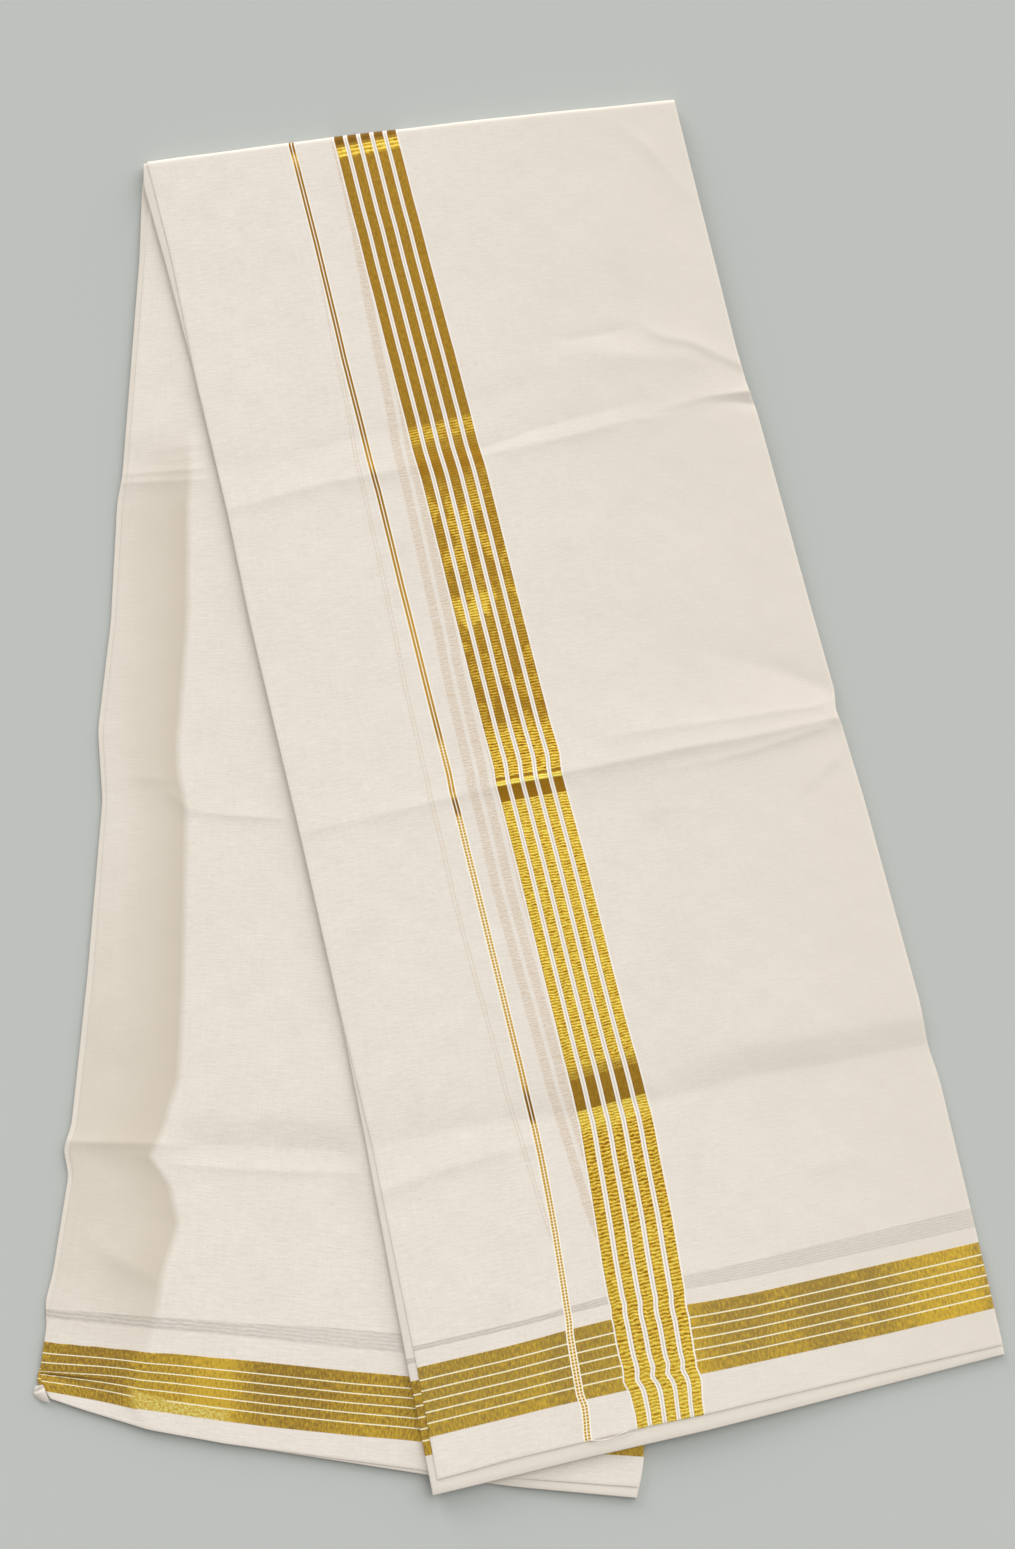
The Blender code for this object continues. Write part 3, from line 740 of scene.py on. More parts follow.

# %% [markdown]
# ## Small parts of the cloth
#
# Two small things make the cloth look handled. At the rear fall's lower left corner the ply below peeps
# out and curls up, and beside the front fall's hem a thread has come loose. Both are short rows of points,
# given one by one. They join the face sheets, because they are the same cloth.

# %% Curl and thread
CURL = ((-355.3, -460.4), (-349.5, -458.9), (-344.0, -472.0), (-352.3, -470.5))     # corners, in mm
CURL_BULGE = 2.9                    # how far its outer side bulges
CURL_FLOOR = 1.5                    # its height at the outer side, and how much more inside
CURL_RISE = 3.4
CURL_PLEAT = 0.9
THREAD = ((50.7, -497.7, 9.5), (56.5, -497.9, 9.5), (62.3, -497.8, 9.5), (66.7, -496.5, 9.5),
          (70.4, -494.2, 9.5), (74.8, -492.6, 9.5), (79.1, -491.3, 9.5))
THREAD_RADIUS = 0.32
THREAD_LENGTH = 28.0
THREAD_STEPS = 25
THREAD_SIDES = 6
PLAIN_ACROSS = 300.0                # a stretch of the cloth without stripes, in millimetres
PLAIN_DOWN = 400.0


def corner_curl():
    """The corner of the ply below, which peeps out and curls up at the rear fall's lower left corner."""
    across, down = np.meshgrid(np.linspace(0.0, 1.0, 13), np.linspace(0.0, 1.0, 15))
    top_left, top_right, low_right, low_left = np.array(CURL)
    left = top_left + (low_left - top_left) * down[..., None]
    right = top_right + (low_right - top_right) * down[..., None]
    flat = left + (right - left) * across[..., None]
    flat[..., 0] -= CURL_BULGE * np.sin(math.pi * down) * (1.0 - across)
    rise = CURL_RISE * (1.0 - (1.0 - across) ** 3) * (1.0 - 0.5 * down ** 3)
    pleat = CURL_PLEAT * np.exp(-((down - 0.42 + 0.25 * across) / 0.09) ** 2)
    height = CURL_FLOOR + rise - pleat
    points = np.concatenate((flat, height[..., None]), axis=2) * MM
    return points, PLAIN_ACROSS + across * 13.0, PLAIN_DOWN + down * 14.0, across * 0.0


def loose_thread():
    """A fine thread that has come loose beside the front fall's hem."""
    path = np.array(THREAD)
    steps = np.linspace(0.0, 1.0, THREAD_STEPS)
    knots = np.linspace(0.0, 1.0, len(path))
    middle = np.stack([soft_table(steps, knots, path[:, axis], 0.08) for axis in range(3)], axis=1)
    turns = np.linspace(0.0, 2.0 * math.pi, THREAD_SIDES + 1)
    ring = THREAD_RADIUS * np.stack((turns * 0.0, np.cos(turns), np.sin(turns)), axis=1)
    points = (middle[:, None, :] + ring[None, :, :]) * MM
    along, nothing = np.meshgrid(steps * THREAD_LENGTH, turns * 0.0, indexing="ij")
    return points, PLAIN_ACROSS + nothing, PLAIN_DOWN + along, nothing


print("the curl rises", CURL_RISE, "mm, and the thread has", len(THREAD), "knots")

# %% Making the four sheets
FRONT_TOP = 4.2 * MM                # height of a face ply over what its fall rests on
REAR_FACE = 4.35 * MM
front_face_ply = Ply(FRONT, "face", FRONT_TOP, FRONT_TOP, 0.28 * MM, front_relief, 4.75 * MM)
front_plies = (
    Ply(FRONT, "hidden", 3.45 * MM, FRONT_TOP, 0.50 * MM, front_relief, 5.2 * MM),
    Ply(FRONT, "hidden", 2.4 * MM, FRONT_TOP, 0.95 * MM, front_relief, 5.3 * MM),
)
rear_face_ply = Ply(REAR, "face", REAR_FACE, REAR_FACE, 0.28 * MM, rear_relief, 0.0)
rear_plies = (
    Ply(REAR, "hidden", 3.75 * MM, REAR_FACE, 0.60 * MM, rear_relief, 0.0),
    Ply(REAR, "hidden", 2.4 * MM, REAR_FACE, 1.0 * MM, rear_relief, 0.0),
)


def made(name, plies, anchors, grid, woven, small_parts=()):
    """The mesh of one piece from its plies, and small parts that belong to it."""
    coarse, fine, columns = grid
    left, right = rows_down(anchors, coarse, fine)
    layers = list(small_parts)
    for ply in plies:
        points, across_mm, down_mm = sheet_points(ply, left, right, columns)
        layers.append((points, *woven(across_mm, down_mm)))
    return sheet_mesh(name, layers)


front_face = made("front_face_cloth", (front_face_ply,), FRONT_ANCHORS, FACE_GRID, front_woven,
                  (loose_thread(),))
front_hidden = made("front_hidden_cloth", front_plies, FRONT_ANCHORS, HIDDEN_GRID, front_hidden_woven)
rear_face = made("rear_face_cloth", (rear_face_ply,), REAR_ANCHORS, FACE_GRID, rear_woven,
                 (corner_curl(),))
rear_hidden = made("rear_hidden_cloth", rear_plies, REAR_ANCHORS, HIDDEN_GRID, rear_woven)

# %% [markdown]
# ## Plain-woven cotton
#
# The ground is handloom cotton in plain weave, washed but not dyed, about 30 threads to the centimetre.
# Such a weave scatters light in all directions, so it is rough, with a faint fuzz that brightens it at
# grazing angles. At this distance the threads don't show one by one. What shows is slubs, short thick or
# thin places in the weft that make fine streaks across the cloth, and a few brown flecks of cotton seed.


# %% Colour and node helpers
def linear(hex_colour):
    """An sRGB hex colour as linear red, green, blue and alpha."""
    values = [int(hex_colour[index:index + 2], 16) / 255 for index in (1, 3, 5)]
    return tuple(v / 12.92 if v <= 0.04045 else ((v + 0.055) / 1.055) ** 2.4 for v in values) + (1.0,)


def add(tree, kind, settings=None, links=None):
    """Add a node, set its properties, and fill its inputs.

    An input takes a value, another node or its output, or a sum. A sum is a tuple that starts with the
    name of its operation, and its terms may be sums again.
    """
    node = tree.nodes.new("ShaderNode" + kind)
    for key, value in (settings or {}).items():
        setattr(node, key, value)
    for key, value in (links or {}).items():
        if isinstance(value, tuple) and isinstance(value[0], str):
            value = add(tree, "Math", {"operation": value[0]}, dict(enumerate(value[1:])))
        if isinstance(value, bpy.types.Node):
            value = value.outputs[2 if value.bl_idname == "ShaderNodeMix" else 0]
        if isinstance(value, bpy.types.NodeSocket):
            tree.links.new(value, node.inputs[key])
        else:
            node.inputs[key].default_value = value
    return node


print("white is", linear("#FFFFFF"))


# %% Patterns from woven places
def maths(tree, *total):
    """A sum, as its operation and its terms."""
    return add(tree, "Math", {"operation": total[0]}, dict(enumerate(total[1:])))


def mixed(tree, share, first, last):
    """A colour between two."""
    return add(tree, "Mix", {"data_type": "RGBA"}, {0: share, 6: first, 7: last})


def stretched(tree, value, low, high):
    """A value from low to high turned to 0 to 1."""
    return add(tree, "MapRange", {}, {"Value": value, "From Min": low, "From Max": high})


def between(tree, value, low, high, soft):
    """1 between two places and 0 outside, with soft sides; all in millimetres."""
    rise = stretched(tree, value, low - soft, low + soft)
    fall = stretched(tree, value, high + soft, high - soft)
    return maths(tree, "MULTIPLY", rise, fall)


def noise_at(tree, across, down, across_size, down_size, detail=2.0, shift=0.0):
    """Noise with a grain of so many millimetres across and down. The shift picks another part of it."""
    place = add(tree, "CombineXYZ", {}, {
        "X": ("DIVIDE", across, across_size), "Y": ("DIVIDE", down, down_size), "Z": shift,
    })
    return add(tree, "TexNoise", {}, {"Vector": place, "Scale": 1.0, "Detail": detail, "Roughness": 0.55})


def profile(tree, value, rows):
    """A table read in the shader. Its rows are a place in millimetres and an amount from 0 to 1."""
    length = rows[-1][0]
    ramp = add(tree, "ValToRGB", {}, {"Fac": ("DIVIDE", value, length)})
    stops = ramp.color_ramp.elements
    stops[0].color = (rows[0][1],) * 3 + (1.0,)
    stops[-1].color = (rows[-1][1],) * 3 + (1.0,)
    for place, amount in rows[1:-1]:
        stops.new(place / length).color = (amount,) * 3 + (1.0,)
    return ramp

# %% Cotton ground
COTTON = linear("#F0E8DF")
# a darker cotton tone; also the painted shade of the hidden plies and towards the front fall's right edge
COTTON_SHADE = linear("#E3DACE")
COTTON_WHITE = linear("#F7F2E9")
SEED_FLECK = linear("#8F7350")


def new_material(name):
    """An empty material with its shader, and the woven place in millimetres."""
    material = bpy.data.materials.new(name)
    material.use_nodes = True
    tree = material.node_tree
    shader = tree.nodes["Principled BSDF"]
    place = add(tree, "SeparateXYZ", {}, {"Vector": add(tree, "UVMap", {"uv_map": "cloth_place"})})
    across = maths(tree, "MULTIPLY", place.outputs[0], 1000.0)
    down = maths(tree, "MULTIPLY", place.outputs[1], 1000.0)
    return material, tree, shader, across, down


def cotton_ground(tree, across, down):
    """Colour and height of the plain weave."""
    # single threads, a third of a millimetre apart, are too fine to show: the finest grain is 1 mm
    cloudy = noise_at(tree, across, down, 34.0, 26.0, 3.0, 3.0)
    slub = noise_at(tree, across, down, 15.0, 1.1, 2.0, 8.0)
    short = noise_at(tree, across, down, 4.5, 1.0, 2.0, 11.0)
    warp = noise_at(tree, across, down, 1.1, 26.0, 2.0, 14.0)
    streaks = maths(tree, "ADD", ("MULTIPLY", slub, 0.42), ("MULTIPLY", short, 0.36))
    streaks = maths(tree, "ADD", streaks, ("MULTIPLY", warp, 0.22))
    tone = maths(tree, "ADD", ("MULTIPLY", cloudy, 0.14), ("MULTIPLY", streaks, 0.86))
    colour = mixed(tree, stretched(tree, tone, 0.36, 0.60), COTTON_SHADE, COTTON)
    thick = noise_at(tree, across, down, 42.0, 0.9, 0.0, 27.0)
    colour = mixed(tree, ("MULTIPLY", stretched(tree, thick, 0.80, 0.88), 0.6), colour, COTTON_WHITE)
    fleck = noise_at(tree, across, down, 1.3, 1.1, 0.0, 33.0)
    colour = mixed(tree, ("MULTIPLY", stretched(tree, fleck, 0.875, 0.90), 0.75), colour, SEED_FLECK)
    return colour, streaks


print("cotton from", tuple(round(part, 3) for part in COTTON_SHADE[:3]))

# %% [markdown]
# ## Zari
#
# The gold is zari: a cotton or silk core wound with thin gilt metal strip, woven in as extra warp for the
# long stripes and as weft for the end band. Flat zari is a soft mirror that shows whatever is above it,
# so from above it looks brown gold. Where the cotton beside it has shrunk in washing, the stiff zari
# stays long and crinkles into cross ribs about 2.2 mm apart, and a little wider near the top fold and the
# end. Ribs turn towards the lamp and away from it, so they sparkle bright and dark; that sparkle is
# painted into their colour, as painted glints on the ribs and painted shade in the grooves. Where a crease
# was pressed, the ribs are ironed out, and the zari there is painted dark as shade. The tables give all of
# this on the way down the cloth.

# %% Zari tables
ZARI_FLAT = linear("#BA902C")
ZARI_GRAIN = linear("#9C751F")
# darker zari: painted shade at pressed creases, and the darker sides of each stripe
ZARI_DARKER = linear("#A5730A")
# painted shade along the top fold and in the tuck
ZARI_PAINTED_SHADE = linear("#6E4906")
ZARI_RIB = linear("#EDBC33")
# painted glint on ribs that face the lamp
ZARI_GLINT = linear("#FFEA6C")
# painted shade in the grooves between ribs
ZARI_PAINTED_GROOVE_SHADE = linear("#9A690F")

# Painted highlight: how much the ribs of the long stripes gleam on their way down, lifting their colour
# towards the painted glint.
PAINTED_GLEAM = ((0, 0.1), (5, 0.1), (6.5, 0.24), (15, 0.24), (18, 0.1), (236, 0.1), (252, 0.1), (256, 0.05),
         (300, 0.10), (350, 0.08), (372, 0.03), (380, 0.22), (400, 0.20), (420, 0.02), (470, 0.02),
         (484, 0.10), (515, 0.10), (519, 0.35), (522, 0.35), (526, 0.1), (536, 0.2), (600, 0.19),
         (735, 0.18), (772, 0.32), (783, 0.3), (788, 0.08), (850, 0.11), (870, 0.17), (910, 0.17),
         (935, 0.14), (975, 0.26), (1100, 0.26))
# How crinkled the stripes are: 0 is smooth, 1 is full of ribs.
CRINKLE = ((0, 0), (237, 0), (239, 0.72), (251, 0.72), (253.5, 0.2), (275, 0.1), (292, 0.6), (310, 0.85),
           (347, 0.85), (357, 0.5), (369, 0.45), (378, 0.95), (400, 0.9), (420, 0.7), (472, 0.66),
           (482, 1), (738, 1), (744, 0.3), (752, 0.3), (760, 1), (1100, 1))
# Painted shade: where a pressed crease leaves them dark, and a little at the top fold.
PAINTED_CREASE_SHADE = ((0, 0.3), (4, 0), (258, 0.1), (264, 0.8), (276, 0.8), (282, 0), (440, 0), (455, 0.35),
           (470, 0.35), (476, 0), (1100, 0))
# Pressed bars and lines with sharp sides, without ribs and painted dark as shade: where they start and end,
# and how dark they are.
BARS = ((516.8, 519.2, 0.75), (523.2, 535.4, 1.0), (747.5, 770.5, 0.4))
# How far a pressed crease rises from the first stripe to the last, as a share of the way across.
SLANT = ((0, 0.07), (230, 0.09), (300, 0.07), (480, 0.0), (600, 0.0), (720, 0.07), (800, 0.07), (1100, 0))

RIB_PITCH = 2.2
END_RIB_PITCH = 2.7                 # the same from here on
END_RIBS_FROM = 790.0
TOP_RIBS_TO = 20.0                  # ribs are wider apart down to here, by so many turns less in each mm
TOP_TURNS_LESS = 0.142
PAINTED_GLINT_TOP = (7.0, 15.9)          # a painted glint patch just below the top fold, full of ribs
PAINTED_GLINT_LINE = (520.4, 522.4)        # and a painted glint line beside the second pressed crease
SMOOTHER = (275.0, 478.0)           # some stripes are smoother between these places
print("crinkle table of", len(CRINKLE), "rows")


# %% Ribs and flat zari
def zari_ribs(tree, across, level, own, loose):
    """Height of the cross ribs. They wander and break, and more so where the cloth is loose."""
    wander = noise_at(tree, across, own, 4.5, 7.0, 2.0, 41.0)
    turns = maths(tree, "ADD", ("DIVIDE", ("MINIMUM", level, END_RIBS_FROM), RIB_PITCH),
                  ("DIVIDE", ("MAXIMUM", ("SUBTRACT", level, END_RIBS_FROM), 0.0), END_RIB_PITCH))
    turns = maths(tree, "SUBTRACT", turns, ("MULTIPLY", ("MINIMUM", level, TOP_RIBS_TO), TOP_TURNS_LESS))
    turns = maths(tree, "ADD", turns, ("MULTIPLY", ("MULTIPLY", wander, 1.4), loose))
    ribs = maths(tree, "ADD", ("MULTIPLY", ("SINE", ("MULTIPLY", turns, 2.0 * math.pi)), 0.5), 0.5)
    broken = noise_at(tree, across, own, 3.4, 0.9, 2.0, 52.0)
    return maths(tree, "ADD", ("MULTIPLY", ribs, 0.50), ("MULTIPLY", broken, 0.50))


def flat_zari(tree, across, level, own):
    """Colour of smooth zari with its fine grain, the pressed bars painted dark as shade, and where a bar
    has no ribs.
    """
    grain = noise_at(tree, across, own, 1.6, 3.5, 3.0, 70.0)
    colour = mixed(tree, stretched(tree, grain, 0.32, 0.66), ZARI_GRAIN, ZARI_FLAT)
    lines = stretched(tree, noise_at(tree, across, own, 5.0, 0.8, 2.0, 74.0), 0.42, 0.62)
    bars = []
    for start, end, dark in BARS:
        bar = between(tree, level, start, end, 0.5)
        shade = ("MULTIPLY", bar, ("SUBTRACT", dark, ("MULTIPLY", lines, 0.5)))
        colour = mixed(tree, shade, colour, ZARI_DARKER)
        bars.append(bar)
    colour = mixed(tree, profile(tree, level, PAINTED_CREASE_SHADE), colour, ZARI_DARKER)
    # painted shade along the top fold
    deep = ("MULTIPLY", stretched(tree, level, 5.0, 3.5), 0.7)
    return mixed(tree, deep, colour, ZARI_PAINTED_SHADE), bars


print("pressed bars:", len(BARS))


# %% Zari of the long stripes
def crinkled_gold(tree, across, down):
    """Colour with painted glints and shade, height and amount of crinkle of the long stripes."""
    from_left = maths(tree, "SUBTRACT", across, BAND_AT)
    stripe = maths(tree, "FLOOR", ("DIVIDE", ("ADD", from_left, 1.0), STRIPE_PITCH))
    level = maths(tree, "ADD", down, ("MULTIPLY", from_left, profile(tree, down, SLANT)))
    own = maths(tree, "ADD", down, ("MULTIPLY", stripe, 37.7))     # each stripe has its own noise
    height = zari_ribs(tree, across, level, own, stretched(tree, down, 250.0, 600.0))

    patch_across = ("ADD", across, ("MULTIPLY", stripe, 23.0))
    patch = noise_at(tree, patch_across, down, 11.0, 24.0, 1.0, 63.0)
    smoother = maths(tree, "MULTIPLY", between(tree, level, *SMOOTHER, 6.0),
                     stretched(tree, patch, 0.56, 0.46))
    crinkle = maths(tree, "MULTIPLY", profile(tree, level, CRINKLE),
                    ("SUBTRACT", 1.0, ("MULTIPLY", smoother, 0.5)))
    # full ribs in the painted glint patch below the top fold
    crinkle = maths(tree, "ADD", crinkle, between(tree, level, *PAINTED_GLINT_TOP, 0.5))
    flat, bars = flat_zari(tree, across, level, own)
    for bar in bars:
        crinkle = maths(tree, "MULTIPLY", crinkle, ("SUBTRACT", 1.0, bar))

    uneven = noise_at(tree, across, own, 3.6, 3.4, 2.0, 66.0)
    # painted highlight: the table lifts the ribs' colour where they gleam
    lifted = maths(tree, "ADD", height, ("SUBTRACT", profile(tree, level, PAINTED_GLEAM), 0.1))
    lifted = maths(tree, "ADD", lifted, ("MULTIPLY", ("SUBTRACT", uneven, 0.5), 0.95))
    lifted = maths(tree, "ADD", lifted, ("MULTIPLY", smoother, -0.16))
    # painted highlight and shade: rib height picks groove shade, rib gold or glint
    ramp = add(tree, "ValToRGB", {}, {"Fac": stretched(tree, lifted, 0.20, 0.88)})
    ramp.color_ramp.elements[0].color = ZARI_PAINTED_GROOVE_SHADE
    ramp.color_ramp.elements[1].color = ZARI_GLINT
    ramp.color_ramp.elements.new(0.45).color = ZARI_RIB
    colour = mixed(tree, crinkle, flat, ramp)
    # painted glint line beside the second pressed crease
    colour = mixed(tree, between(tree, level, *PAINTED_GLINT_LINE, 0.4), colour, ZARI_GLINT)
    return colour, maths(tree, "MULTIPLY", height, crinkle), crinkle


print("ribs every", RIB_PITCH, "mm, and every", END_RIB_PITCH, "mm near the end")

# %% [markdown]
# ## Gold bands on one cloth
#
# One material carries a whole face ply, because on the loom it is one cloth. Masks from the woven place
# choose between cotton ground, white edge threads and zari. From the left they are a twin stripe, in
# parts dotted where its zari dives under the cotton, and the five gold stripes. The stripes of the ply
# below show through the thin cotton as faint bands. Near the end come a grey openwork bar and the broad
# end band, six gold stripes and five white lines woven across. The end band is flat zari with a fine
# grain. Its light and dark are painted into its colour: painted highlight where the cloth leans to the
# lamp and painted shade where it leans away.

# %% End band tables
FRONT_LOW = linear("#AE9048")       # bright zari: the painted highlight of the end band
REAR_LOW = linear("#A6833A")
END_HIGH = linear("#EEC646")        # bright zari
END_PAINTED_GLITTER = linear("#FFF592")     # painted glitter on the crumpled part
END_CRUMPLED = linear("#E2B23A")
BAND_WHITE = linear("#F7F2D4")
OPENWORK = linear("#A39B92")
END_PITCH = 7.44                    # from white line to white line
END_LINE = 0.9                      # width of a white line
FIRST_LINE = 9.05                   # middle of the first, below the band's top side
LINES_BETWEEN = (6.0, 42.0)         # the white lines lie between these places below the top side
BAR_THREADS = 1.9                   # from dark thread to dark thread of the openwork bar
BAR_LOWER_SIDE = 11.0               # from the bar's lower side to the end band
# Past the tuck at the rear corner: places across, and places below the band's top side.
CRUMPLED_ACROSS = (66.0, 132.0)     # the lowest stripe is crumpled there
CRUMPLED_DOWN = 33.0                # its upper side where that begins, and how much lower it gets
CRUMPLED_FALL = 4.5
LINE_HIDDEN = (66.0, 90.0)          # the crumpled part hides the white line above it there
TUCK_SHADE = (27.5, 31.2)           # the cloth is in shade where it dives into the tuck

# How bright the end band is painted on its way across, as painted highlight and shade by how it lies to the
# lamp.
FRONT_SHINE = ((0, 0.26), (70, 0.30), (90, 0.44), (105, 0.12), (206, 0.62), (222, 0.26), (250, 0.10),
               (268, 0.32), (282, 0.24), (294, 0.0), (316, 0.0), (328, 0.28), (342, 0.02), (354, 0.32),
               (366, 0.46), (378, 0.6), (395, 0.66), (412, 0.74), (419, 0.5), (424, 0.1))
REAR_SHINE = ((0, 0.35), (30, 0.16), (58, 0.14), (68, 0.5), (100, 0.57), (113, 0.86), (130, 0.9),
              (140, 0.54), (152, 0.16), (190, 0.14), (212, 0.33), (236, 0.42), (256, 0.3), (424, 0.3))
HIDDEN_SHINE = ((0, 0.3), (424, 0.3))
# How thick the openwork bar is on its way across.
FRONT_BAR = ((0, 3.6), (100, 4.2), (144, 5.6), (200, 10.0), (300, 12.2), (424, 14.0))
REAR_BAR = ((0, 4.2), (80, 5.8), (140, 6.6), (200, 9.0), (424, 11.0))
print("end band from", END_TOP, "to", END_BOTTOM, "mm down")


# %% Openwork bar and crumpled corner
def openwork_bar(tree, across, down, colour, bar_rows):
    """Add the grey bar, in which threads were left out, to a ground colour."""
    most = 20.0                     # a profile holds amounts up to 1, so it holds shares of this
    thickness = maths(tree, "MULTIPLY", profile(tree, across, [(a, t / most) for a, t in bar_rows]), most)
    above = maths(tree, "SUBTRACT", END_TOP - BAR_LOWER_SIDE, down)
    inside = maths(tree, "MULTIPLY", between(tree, above, 0.0, 100.0, 0.4),
                   stretched(tree, ("SUBTRACT", above, thickness), 0.4, -0.4))
    waving = noise_at(tree, across, down, 9.0, 5.0, 1.0, 71.0)
    turns = ("MULTIPLY", ("ADD", down, ("MULTIPLY", waving, 1.4)), 2.0 * math.pi / BAR_THREADS)
    threads = maths(tree, "SINE", turns)
    broken = noise_at(tree, across, down, 5.0, 0.9, 2.0, 77.0)
    dark = stretched(tree, ("ADD", ("MULTIPLY", threads, 0.2), broken), -0.1, 0.95)
    narrow = stretched(tree, thickness, 10.0, 4.0)
    amount = maths(tree, "MULTIPLY", dark, ("ADD", 0.44, ("MULTIPLY", narrow, 0.26)))
    return mixed(tree, ("MULTIPLY", inside, amount), colour, OPENWORK)


def crumpled_corner(tree, across, from_band, line):
    """Masks past the tuck: the crumpled part, the tuck's shade, and the white lines that still show."""
    lower = ("MULTIPLY", stretched(tree, across, CRUMPLED_ACROSS[0], 92.0), CRUMPLED_FALL)
    start = maths(tree, "ADD", CRUMPLED_DOWN, lower)
    crumpled = maths(tree, "MULTIPLY", between(tree, across, *CRUMPLED_ACROSS, 4.0),
                     stretched(tree, ("SUBTRACT", from_band, start), 0.0, 1.2))
    hidden_line = maths(tree, "MULTIPLY", between(tree, across, *LINE_HIDDEN, 3.0),
                        stretched(tree, from_band, CRUMPLED_DOWN, CRUMPLED_DOWN + 1.0))
    tucked = maths(tree, "MULTIPLY", between(tree, from_band, *TUCK_SHADE, 0.9),
                   stretched(tree, across, 64.0, 22.0))
    return crumpled, tucked, maths(tree, "MULTIPLY", line, ("SUBTRACT", 1.0, hidden_line))


print("openwork bar with a thread every", BAR_THREADS, "mm")


# %% End band
def end_band(tree, across, down, colour, low, shine_rows, bar_rows, corner=False):
    """Add the grey bar and the gold end band to a ground colour; also the band's gold and its grain."""
    colour = openwork_bar(tree, across, down, colour, bar_rows)
    from_band = maths(tree, "SUBTRACT", down, END_TOP)
    in_band = between(tree, from_band, 0.0, END_BOTTOM - END_TOP, 0.25)
    half = END_PITCH / 2
    cycle = maths(tree, "MODULO", ("SUBTRACT", from_band, FIRST_LINE - half), END_PITCH)
    line = maths(tree, "MULTIPLY", between(tree, cycle, half - END_LINE / 2, half + END_LINE / 2, 0.2),
                 between(tree, from_band, *LINES_BETWEEN, 0.2))
    fine = noise_at(tree, across, down, 1.4, 4.0, 3.0, 81.0)
    patches = noise_at(tree, across, down, 8.0, 9.0, 3.0, 92.0)
    lower = ("MULTIPLY", stretched(tree, from_band, 20.0, 48.0), 0.18)
    shine = maths(tree, "ADD", profile(tree, across, shine_rows), lower)
    if corner:
        crumpled, tucked, line = crumpled_corner(tree, across, from_band, line)
        shine = maths(tree, "ADD", shine, ("MULTIPLY", crumpled, 0.2))
    shine = maths(tree, "ADD", shine, ("MULTIPLY", ("SUBTRACT", patches, 0.5), 0.55))
    shine = maths(tree, "ADD", shine, ("MULTIPLY", ("SUBTRACT", fine, 0.5), 2.7))
    gold = mixed(tree, shine, low, END_HIGH)
    if corner:
        # painted shade where the cloth dives into the tuck
        gold = mixed(tree, ("MULTIPLY", tucked, 0.75), gold, ZARI_PAINTED_SHADE)
        # painted glitter: bright specks on the crumpled part
        specks = stretched(tree, noise_at(tree, across, down, 2.0, 1.7, 2.0, 85.0), 0.38, 0.62)
        painted_glitter = mixed(tree, specks, END_CRUMPLED, END_PAINTED_GLITTER)
        gold = mixed(tree, ("MULTIPLY", crumpled, 0.9), gold, painted_glitter)
    colour = mixed(tree, in_band, colour, gold)
    colour = mixed(tree, ("MULTIPLY", in_band, line), colour, BAND_WHITE)
    return colour, maths(tree, "MULTIPLY", in_band, ("SUBTRACT", 1.0, line)), fine


print("white lines every", END_PITCH, "mm")

# %% Stripes of the ply below
BELOW_PITCH = 10.0                  # places are from the left side of its first stripe
BELOW_STRIPE = (0.4, 7.2)
BELOW_TWIN = ((-30.9, -29.7), (-28.5, -27.3))
BELOW_DOWN = (3.0, 862.0)           # they show between these places on the way down
SHOW_THROUGH = linear("#D4C0A6")


def ply_below(tree, down, left_of_band):
    """How much the stripes of the ply below show through."""
    place = add(tree, "SeparateXYZ", {}, {"Vector": add(tree, "UVMap", {"uv_map": "place_below"})})
    from_left = maths(tree, "MULTIPLY", place.outputs[0], 1000.0)
    local = ("MODULO", ("ADD", from_left, 100 * BELOW_PITCH), BELOW_PITCH)
    stripe = between(tree, local, *BELOW_STRIPE, 0.5)
    stripe = maths(tree, "MULTIPLY", stripe, stretched(tree, from_left, -0.2, 0.2))
    lines = maths(tree, "ADD", between(tree, from_left, *BELOW_TWIN[0], 0.3),
                  between(tree, from_left, *BELOW_TWIN[1], 0.3))
    shown = maths(tree, "ADD", stripe, ("MULTIPLY", lines, 0.75))
    wander = noise_at(tree, from_left, down, 6.0, 4.0, 1.0, 101.0)
    turns = ("MULTIPLY", ("ADD", down, ("MULTIPLY", wander, 6.0)), 2.0 * math.pi / RIB_PITCH)
    ribs = maths(tree, "SINE", turns)
    strength = maths(tree, "ADD", 0.46, ("MULTIPLY", ribs, 0.26))
    length = between(tree, down, *BELOW_DOWN, 3.0)
    return maths(tree, "MULTIPLY", ("MULTIPLY", shown, strength), ("MULTIPLY", length, left_of_band))


print("stripes of the ply below every", BELOW_PITCH, "mm")

# %% Twin stripe
TWIN_HALF = 3.15                    # half of its width, with its white threads
TWIN_ZARI = (0.4, 2.15)             # each of its two lines lies between these places from its middle
TWIN_DOTS = 2.3                     # from dot to dot
TWIN_GOLD = linear("#D2A02C")
TWIN_DARK = linear("#96680A")
TWIN_WHITE = linear("#FDF8EA")
TWIN_PALE = linear("#F2DA96")

# The look of the twin stripe on its way down: 1 is dark unbroken gold, 0.5 bright gold, 0 dotted. Its
# bright gold below the top fold is a painted glint, and its dark gold at the pressed creases is painted
# shade, as on the five stripes.
TWIN_LOOK = ((0, 1), (6, 1), (8, 0.4), (16, 0.4), (18, 0.9), (236, 0.9), (262, 0.5), (270, 0.95),
             (300, 0.85), (330, 0.68), (385, 0.5), (420, 0.5), (450, 0.58), (476, 0.8), (486, 0.3),
             (507, 0.45), (519, 0.45), (522, 1), (524, 0.3), (527, 1), (540, 1), (542, 0), (620, 0.1),
             (700, 0.33), (745, 0.4), (751, 1), (771, 1), (773, 0.35), (820, 0.35), (860, 0.2),
             (1100, 0.15))


